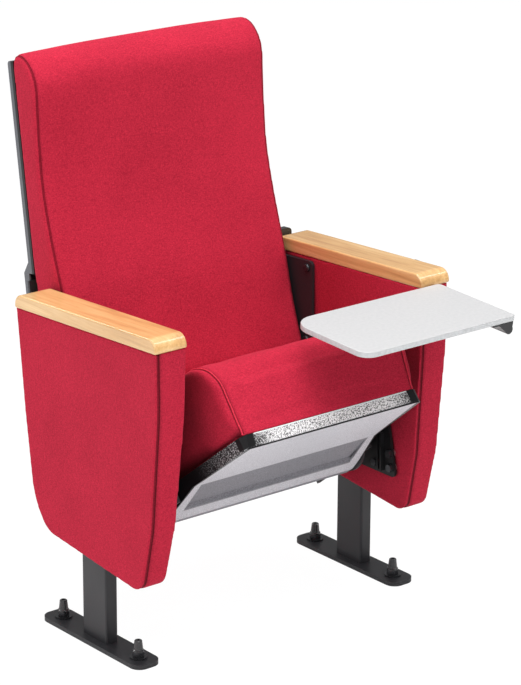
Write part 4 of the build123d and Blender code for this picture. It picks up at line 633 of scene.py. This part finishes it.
def line(first, last, spacing=12.0):
    """Points on a straight run, from the first one up to just before the last."""
    count = max(1, round(math.dist(first, last) / spacing))
    return [tuple(Vector(first).lerp(Vector(last), part / count)) for part in range(count)]


def smooth(value, low, high):
    """0 at low, 1 at high and smooth between."""
    share = min(1.0, max(0.0, (value - low) / (high - low)))
    return share * share * (3 - 2 * share)

print("an arc has", len(arc((-1, 0), (0, 1), (1, 0), 0.2)), "points")

# %% From ribs to a piece of cloth
def own_frame(origin, slope):
    """Matrix from a part's own millimetres to the row's metres."""
    return Matrix.Translation(Vector(origin)) @ Matrix.Rotation(slope, 4, "X") @ Matrix.Scale(MILLI, 4)


def rib_cage(ribs):
    """A closed bmesh from closed ribs of equally many points, capped at both ends."""
    bm = bmesh.new()
    rings = []
    for rib in ribs:
        corners = [bm.verts.new(point) for point in rib]
        rings.append([bm.edges.new(pair) for pair in zip(corners, corners[1:] + corners[:1])])
    for first, second in zip(rings, rings[1:]):
        bmesh.ops.bridge_loops(bm, edges=first + second)
    for ring in (rings[0], rings[-1]):
        cap = bmesh.ops.contextual_create(bm, geom=ring)["faces"]
        bmesh.ops.triangulate(bm, faces=cap, ngon_method="BEAUTY")
    bmesh.ops.recalc_face_normals(bm, faces=bm.faces)
    return bm


def piece_from(bm, name, matrix):
    """An object from a bmesh, with its place baked into its mesh."""
    mesh = bpy.data.meshes.new(name)
    bm.to_mesh(mesh)
    bm.free()
    mesh.transform(matrix)
    piece = bpy.data.objects.new(name, mesh)
    bpy.context.scene.collection.objects.link(piece)
    return piece


def apply_modifiers(piece):
    """Bakes the modifiers into the mesh."""
    depsgraph = bpy.context.evaluated_depsgraph_get()
    baked = bpy.data.meshes.new_from_object(piece.evaluated_get(depsgraph), depsgraph=depsgraph)
    piece.modifiers.clear()
    piece.data = baked


def even_cloth(piece, voxel, rounds):
    """Remeshes a cage evenly, takes the steps out and lays the cloth back onto the cage."""
    cage = bpy.data.objects.new("cage", piece.data.copy())
    bpy.context.scene.collection.objects.link(cage)
    remesh = piece.modifiers.new("remesh", "REMESH")
    remesh.mode = "VOXEL"
    remesh.voxel_size = voxel
    for name, count in (("calm", rounds), ("fit", 0), ("relax", 1)):
        if count:
            calm = piece.modifiers.new(name, "SMOOTH")
            calm.factor = 0.5
            calm.iterations = count
        else:
            piece.modifiers.new(name, "SHRINKWRAP").target = cage
    apply_modifiers(piece)
    bpy.data.objects.remove(cage)


LAST_FRAME = 20


def inflate(piece, cap, hold):
    """Lets air pressure swell the piece by at most cap metres; hold(point) is 0 where it must stay."""
    before = [vertex.co.copy() for vertex in piece.data.vertices]
    cloth = piece.modifiers.new("cloth", "CLOTH")
    cloth.settings.quality = 4
    cloth.settings.mass = 0.3
    cloth.settings.tension_stiffness = cloth.settings.compression_stiffness = 18
    cloth.settings.bending_stiffness = 2.0
    cloth.settings.use_pressure = True
    cloth.settings.uniform_pressure_force = 4.0
    cloth.settings.effector_weights.gravity = 0.0
    cloth.point_cache.frame_start = 1
    cloth.point_cache.frame_end = LAST_FRAME
    for step in range(1, LAST_FRAME + 1):
        bpy.context.scene.frame_set(step)
    apply_modifiers(piece)
    bpy.context.scene.frame_set(1)
    farthest = 0.0
    for vertex, start in zip(piece.data.vertices, before):
        move = vertex.co - start
        if move.length > cap:
            move = move * (cap / move.length)
        vertex.co = start + move * hold(start)
        farthest = max(farthest, (vertex.co - start).length)
    print(piece.name, "swelled by", round(farthest * 1000, 1), "mm,", len(piece.data.vertices), "points")


def refine(piece, seam_distance, depth, width, levels=1):
    """A subdivision, then a groove along the seams; the distance from them is kept as an attribute."""
    if levels:
        finer = piece.modifiers.new("finer", "SUBSURF")
        finer.levels = finer.render_levels = levels
        apply_modifiers(piece)
    normals = [vertex.normal.copy() for vertex in piece.data.vertices]
    gaps = [seam_distance(vertex.co) for vertex in piece.data.vertices]
    for vertex, normal, gap in zip(piece.data.vertices, normals, gaps):
        vertex.co -= normal * (depth * math.exp(-(gap / width) ** 2))
    piece.data.attributes.new("seam", "FLOAT", "POINT").data.foreach_set("value", gaps)
    for face in piece.data.polygons:
        face.use_smooth = True
    piece.data.update()

print("cloth helpers ready")

# %% Cords along seams
def seam_cord(name, surface, points, radius, proud=0.0):
    """A cord of cloth laid along points, each pulled onto the surface of a piece and lifted off it."""
    tree = BVHTree.FromPolygons([v.co for v in surface.data.vertices],
                                [p.vertices for p in surface.data.polygons])
    curve = bpy.data.curves.new(name, "CURVE")
    curve.dimensions = "3D"
    curve.bevel_depth = radius
    curve.bevel_resolution = 2
    curve.use_fill_caps = True
    run = curve.splines.new("NURBS")
    run.points.add(len(points) - 1)
    for place, point in zip(run.points, points):
        spot, normal = tree.find_nearest(point)[:2]
        place.co = (*(spot + normal * proud), 1)
    run.order_u = 3
    run.use_endpoint_u = True
    run.resolution_u = 3
    thread = bpy.data.objects.new(name + "_curve", curve)
    bpy.context.scene.collection.objects.link(thread)
    depsgraph = bpy.context.evaluated_depsgraph_get()
    mesh = bpy.data.meshes.new_from_object(thread.evaluated_get(depsgraph), depsgraph=depsgraph)
    bpy.data.objects.remove(thread)
    mesh.name = name
    cord = bpy.data.objects.new(name, mesh)
    bpy.context.scene.collection.objects.link(cord)
    for face in mesh.polygons:
        face.use_smooth = True
    return cord

print("cord helper ready")

# %% [markdown]
# ## The seat cushion
# Seen from the side, the cushion has an upright nose that leans forward, a full round top edge, and a
# top that falls away to the rear. Two seams run round it near the sides; outside them, the side
# panels round over and are drawn in. The cover is sewn a little askew, so the seams lean to one side.
# The numbers are millimetres in the seat's own frame, measured from the hinge; only voxel sizes and
# the radii of cords are metres.

# %% Seat cushion
SEAT = own_frame(SEAT_ORIGIN, SEAT_SLOPE)
SEAT_INVERSE = SEAT.inverted()
SEAT_SWELL = 4.0
SEAT_MARGIN = 45.0
SEAT_SEAM = 187.0
SEAT_ASKEW = 2.0
SEAT_CROWN = 6.0
SEAT_VOXEL = 0.0056
seat_outline = arc((-270, 0.3), (-274, 47.2), (-278, 88.7))
seat_outline += arc((-278, 88.7), (-261.2, 125.8), (-218, 143))
seat_outline += arc((-218, 143), (-43.5, 131.5), (123, 112))
seat_outline += arc((123, 112), (138.2, 104), (143, 88))
seat_top_count = len(seat_outline)
seat_outline += line((143, 88), (143, 0.3)) + line((143, 0.3), (-270, 0.3))


def seat_seam(way, y, z):
    """X of a seam, leaning outwards with height and to the rear."""
    askew = SEAT_ASKEW * (z - 65) / 65
    return way * (SEAT_SEAM + 0.10 * z + 0.045 * (y + 270)) + askew


def seat_rib(share, out=0.0, inset=0.0):
    """One rib: share is -1 to 1 between the seams, out puts it outside a seam, inset draws it in."""
    rib = []
    for y, z in seat_outline:
        left, right = seat_seam(-1, y, z), seat_seam(1, y, z)
        x = left + (right - left) * (share + 1) / 2
        x += math.copysign(out, share) * (0.1 + 0.9 * smooth(z, 0, 34)) * (1.0 + 0.45 * smooth(-y, 60, 200))
        slack = SEAT_SWELL * min(1.0, (1 - abs(share)) * 190 / SEAT_MARGIN) * smooth(z, 2, 34)
        away = Vector((y + 65, z - 62))
        pull = (inset * smooth(z, 2, 30) + slack) / away.length
        crown = SEAT_CROWN * (1 - share * share) * smooth(z, 60, 110)
        rib.append((x, y - away.x * pull, z + crown - away.y * pull))
    return rib

SIDE_STEPS = [(9.4, 44), (9.4, 26), (9.2, 16), (8.4, 9.5), (6.2, 4.6), (3.2, 1.7), (1.0, 0.4)]
SHARES = (-1, -0.97, -0.9, -0.8, -0.62, -0.4, -0.2, 0, 0.2, 0.4, 0.62, 0.8, 0.9, 0.97, 1)
seat_ribs = [seat_rib(-1, out, inset) for out, inset in SIDE_STEPS]
seat_ribs += [seat_rib(share) for share in SHARES]
seat_ribs += [seat_rib(1, out, inset) for out, inset in reversed(SIDE_STEPS)]
seat_pad = piece_from(rib_cage(seat_ribs), "seat_pad", SEAT)
even_cloth(seat_pad, SEAT_VOXEL, 3)


def seat_seam_distance(point):
    """Metres from a point of the seat cushion to the nearest seam, negative between them."""
    x, y, z = SEAT_INVERSE @ point
    if z < 1.5 or y > 136:
        return 1.0
    return MILLI * max(x - seat_seam(1, y, z), seat_seam(-1, y, z) - x)


def seat_hold(point):
    """How freely a point of the seat cushion may swell."""
    x, y, z = SEAT_INVERSE @ point
    inside = seat_seam(-1, y, z) < x < seat_seam(1, y, z)
    edge = min(abs(x - seat_seam(way, y, z)) for way in (-1, 1))
    return min(1.0, edge / SEAT_MARGIN) * smooth(z, 2, 34) * (1.0 if inside and y < 110 else 0.2)

inflate(seat_pad, SEAT_SWELL * MILLI, seat_hold)
refine(seat_pad, seat_seam_distance, depth=0.0022, width=0.0042)
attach(seat_pad, "seat")
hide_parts("seat_cushion")
dress(seat_pad, red_cloth)

# %% [markdown]
# The seat's seams are piped: a cord wrapped in cloth is sewn in between the panels. It stands a
# little proud of the groove that the stitches pull in, and its cloth is a lighter copy of the cover's:
# a painted highlight along the piping.

# %% Seat piping
PIPING_RADIUS = 0.0015
PIPING_PROUD = 0.0012
for way, side_name in ((-1, "left"), (1, "right")):
    course = [SEAT @ Vector((seat_seam(way, y, z), y, z)) for y, z in seat_outline[:seat_top_count]]
    piping = seam_cord(f"seat_piping_{side_name}", seat_pad, course, PIPING_RADIUS, proud=PIPING_PROUD)
    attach(piping, "seat")
    dress(piping, red_cord_highlit)
    print(piping.name, len(piping.data.polygons), "faces")

# %% [markdown]
# ## The back cushion
# The back has a soft S in profile: full at the lumbar, hollow behind the neck and full again at the
# head, rounding over the top and down to the shell. Its lower end hangs a little below the board, out of
# sight behind the raised seat. Its seams stand a few millimetres in from the sides, and the side
# panels are drawn in again where they meet the shell, which leaves a dark gap there.

# %% Back cushion
BACK = own_frame(BACK_ORIGIN, BACK_SLOPE)
BACK_INVERSE = BACK.inverted()
BACK_SWELL = 4.0
BACK_MARGIN = 60.0
BACK_VOXEL = 0.0062
BACK_SEAM = 248.0
BACK_CROWN = 5.0
BACK_FULLER = 8.0
BACK_SIDE_RISE, BACK_MIDDLE_RISE = 2.5, 7.5
BACK_DEEPEST = 26.0
back_outline = arc((-117.5, -20), (-95.5, 90), (-75.5, 191.4))
back_outline += arc((-75.5, 191.4), (-56.5, 290), (-47.5, 376.7))
back_outline += arc((-47.5, 376.7), (-51.5, 451.5), (-57, 520.3))
back_outline += arc((-57, 520.3), (-44, 580), (-16, 598), 6.0)
back_outline += arc((-16, 598), (-6, 594.5), (-1, 584), 4.0)
back_outline = soften(back_outline, 8)
back_front_count = len(back_outline)
back_outline += line((-1, 584), (0, 578)) + line((0, 578), (0, 0)) + line((0, 0), (-45, -6))
back_outline += line((-45, -6), (-97, -33)) + arc((-97, -33), (-112, -31), (-117.5, -20), 5.0)


def back_front(y, z):
    """How far a point of the profile lies on the front, and how much fuller the foam is there."""
    depth = smooth(-y, 0, 36)
    return depth, BACK_FULLER * smooth(z, 60, 200) * depth


def back_rib(share, out=0.0, inset=0.0):
    """One rib of the back cushion: crowned across, fuller above the armrests, drawn in at the shell."""
    rib = []
    for y, z in back_outline:
        depth, forward = back_front(y, z)
        slack = BACK_SWELL * min(1.0, (1 - abs(share)) * BACK_SEAM / BACK_MARGIN)
        top = smooth(z, 500, 590) * smooth(-y, -4, 6)
        low = smooth(-z, -40, 10) * depth
        fullness = 0.45 + 0.55 * smooth(z, 175, 240)
        drawn_in = 1.0 - 0.8 * smooth(y, -7, 0) * (1 - inset / BACK_DEEPEST)
        x = share * BACK_SEAM + math.copysign(out, share) * fullness * drawn_in
        rise = BACK_SIDE_RISE + BACK_MIDDLE_RISE * (1 - share ** 4)
        rib.append((x, y - forward + (BACK_CROWN * share ** 4 + slack + inset * 0.5) * depth,
                    z + (rise - inset - slack * 0.5) * top + inset * 0.1 * low))
    return rib

BACK_STEPS = [(5.2, BACK_DEEPEST), (5.2, 18), (5.1, 11.5), (4.7, 6.5), (3.6, 3.0), (2.1, 1.1), (0.8, 0.3)]
back_ribs = [back_rib(-1, out, inset) for out, inset in BACK_STEPS]
back_ribs += [back_rib(share) for share in SHARES]
back_ribs += [back_rib(1, out, inset) for out, inset in reversed(BACK_STEPS)]
back_pad = piece_from(rib_cage(back_ribs), "back_pad", BACK)
even_cloth(back_pad, BACK_VOXEL, 3)


def back_seam_distance(point):
    """Distance from the nearest seam of the back, negative between them, stretched so the painted seam shade
    is a finer line.
    """
    x, y, z = BACK_INVERSE @ point
    return 1.0 if y > -2 or z < -18 else 1.6 * MILLI * (abs(x) - BACK_SEAM)


def back_hold(point):
    """How freely a point of the back cushion may swell."""
    x, y, z = BACK_INVERSE @ point
    edge = (BACK_SEAM - abs(x)) / BACK_MARGIN
    return min(1.0, max(0.0, edge)) * smooth(-y, 2, 36)

inflate(back_pad, BACK_SWELL * MILLI, back_hold)
refine(back_pad, back_seam_distance, depth=0.0016, width=0.0060)
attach(back_pad, "frame")
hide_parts("back_cushion")
dress(back_pad, red_cloth)

# %% Back seams
BACK_THREAD_RADIUS = 0.0009
for way, side_name in ((-1, "left"), (1, "right")):
    course = []
    for y, z in back_outline[1:back_front_count]:
        depth, forward = back_front(y, z)
        course.append(BACK @ Vector((way * BACK_SEAM, y - forward + BACK_CROWN * depth, z)))
    stitch = seam_cord(f"back_seam_{side_name}", back_pad, course, BACK_THREAD_RADIUS)
    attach(stitch, "frame")
    dress(stitch, red_seam_shaded)
    print(stitch.name, len(stitch.data.polygons), "faces")

# %% [markdown]
# ## The side panels
# Each stand is clothed in a padded sleeve: a board with thin foam on both faces and a band of cloth
# round its edge. One face of the outline is drawn, its corners are bevelled, and it is extruded across
# the panel. The inner side leans towards the seat, and the top is cut off along the underside of the
# armrest. The band is sewn on a few millimetres behind its left edge, which leaves a soft groove, and
# the right edge is folded round. Both panels are cut alike, as in a row every stand is the same. A
# corner of the outline is a place and the radius that rounds it, in millimetres.

# %% Side panels
PANEL_CORNERS = [((-203.5, 640.0), 2.0), ((-205.5, 478.0), 500.0), ((-187.0, 270.0), 150.0),
                 ((-160.5, 149.5), 28.0), ((115.0, 178.0), 45.0), ((151.0, 232.0), 90.0),
                 ((172.0, 380.0), 600.0), ((202.0, 640.0), 2.0)]
PANEL_OUTER = 320.5
PANEL_INNER, PANEL_LEAN = 271.0, 14.0
PANEL_FOOT, PANEL_HEIGHT = 150.0, 436.3
BAND_SEAM = 6.0
RIM_ROUND = 2.8
PANEL_VOXEL = 0.0026
PANEL_THREAD_RADIUS = 0.0006
MILLIMETRES = Matrix.Scale(MILLI, 4)
ARM_TILT = math.radians(2.75)
ARM_FRONT_TOP = Vector((0, -206.3, 611.3))
PANEL_TOP_DROP = 24.6
under_normal = Vector((0, math.sin(ARM_TILT), math.cos(ARM_TILT)))
under_point = ARM_FRONT_TOP - under_normal * PANEL_TOP_DROP


def inner_x(z):
    """The leaning inner face of the panel."""
    return PANEL_INNER - PANEL_LEAN * (z - PANEL_FOOT) / PANEL_HEIGHT


def side_panel(name, way):
    """One padded panel: outline, thickness, rounded rims, cut top."""
    bm = bmesh.new()
    corners = [bm.verts.new((0, y, z)) for (y, z), radius in PANEL_CORNERS]
    bmesh.ops.contextual_create(bm, geom=corners)
    for corner, (spot, radius) in zip(corners, PANEL_CORNERS):
        before, after = [edge.other_vert(corner).co - corner.co for edge in corner.link_edges]
        reach = radius * math.tan((math.pi - before.angle(after)) / 2)
        bmesh.ops.bevel(bm, geom=[corner], offset=reach, affect="VERTICES", segments=10, profile=0.5)
    grown = bmesh.ops.extrude_face_region(bm, geom=bm.faces[:])["geom"]
    outer = [item for item in grown if isinstance(item, bmesh.types.BMVert)]
    for vertex in bm.verts:
        vertex.co.x = PANEL_OUTER if vertex in outer else inner_x(vertex.co.z)
    rims = [edge for edge in bm.edges if (edge.verts[0] in outer) == (edge.verts[1] in outer)]
    bmesh.ops.bevel(bm, geom=rims, offset=RIM_ROUND, affect="EDGES", segments=3, profile=0.5, material=-1)
    bmesh.ops.bisect_plane(bm, geom=bm.verts[:] + bm.edges[:] + bm.faces[:], dist=0.01,
                           plane_co=under_point, plane_no=under_normal, clear_outer=True)
    bmesh.ops.holes_fill(bm, edges=[edge for edge in bm.edges if edge.is_boundary], sides=0)
    if way < 0:
        bmesh.ops.scale(bm, vec=(-1, 1, 1), verts=bm.verts)
    bmesh.ops.recalc_face_normals(bm, faces=bm.faces)
    return piece_from(bm, name, MILLIMETRES)


def panel_seam_x(way, z):
    """X of a panel's visible seam. Both panels are alike, so it is on the left edge of each band."""
    return -PANEL_OUTER + BAND_SEAM if way < 0 else inner_x(z) + BAND_SEAM


def panel_seam_distance(point):
    """Metres from a point of a panel to its seam, negative on the band."""
    x, z = point.x / MILLI, point.z / MILLI
    return MILLI * (panel_seam_x(math.copysign(1, x), z) - x)

for way, side_name in ((-1, "left"), (1, "right")):
    panel = side_panel(f"{side_name}_panel_cover", way)
    even_cloth(panel, PANEL_VOXEL, 3)
    refine(panel, panel_seam_distance, depth=0.0016, width=0.0034, levels=0)
    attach(panel, "frame")
    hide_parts(f"{side_name}_side_cover")
    dress(panel, red_cloth)
    spots = [spot for (spot, radius) in PANEL_CORNERS]
    run = [point for pair in zip(spots, spots[1:]) for point in line(*pair)]
    course = [Vector((panel_seam_x(way, z), y, z)) * MILLI for y, z in run
              if (Vector((0, y, z)) - under_point).dot(under_normal) < -2]
    stitch = seam_cord(f"{side_name}_panel_seam", panel, course, PANEL_THREAD_RADIUS)
    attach(stitch, "frame")
    dress(stitch, red_seam_shaded)
    print(panel.name, len(panel.data.polygons), "faces")
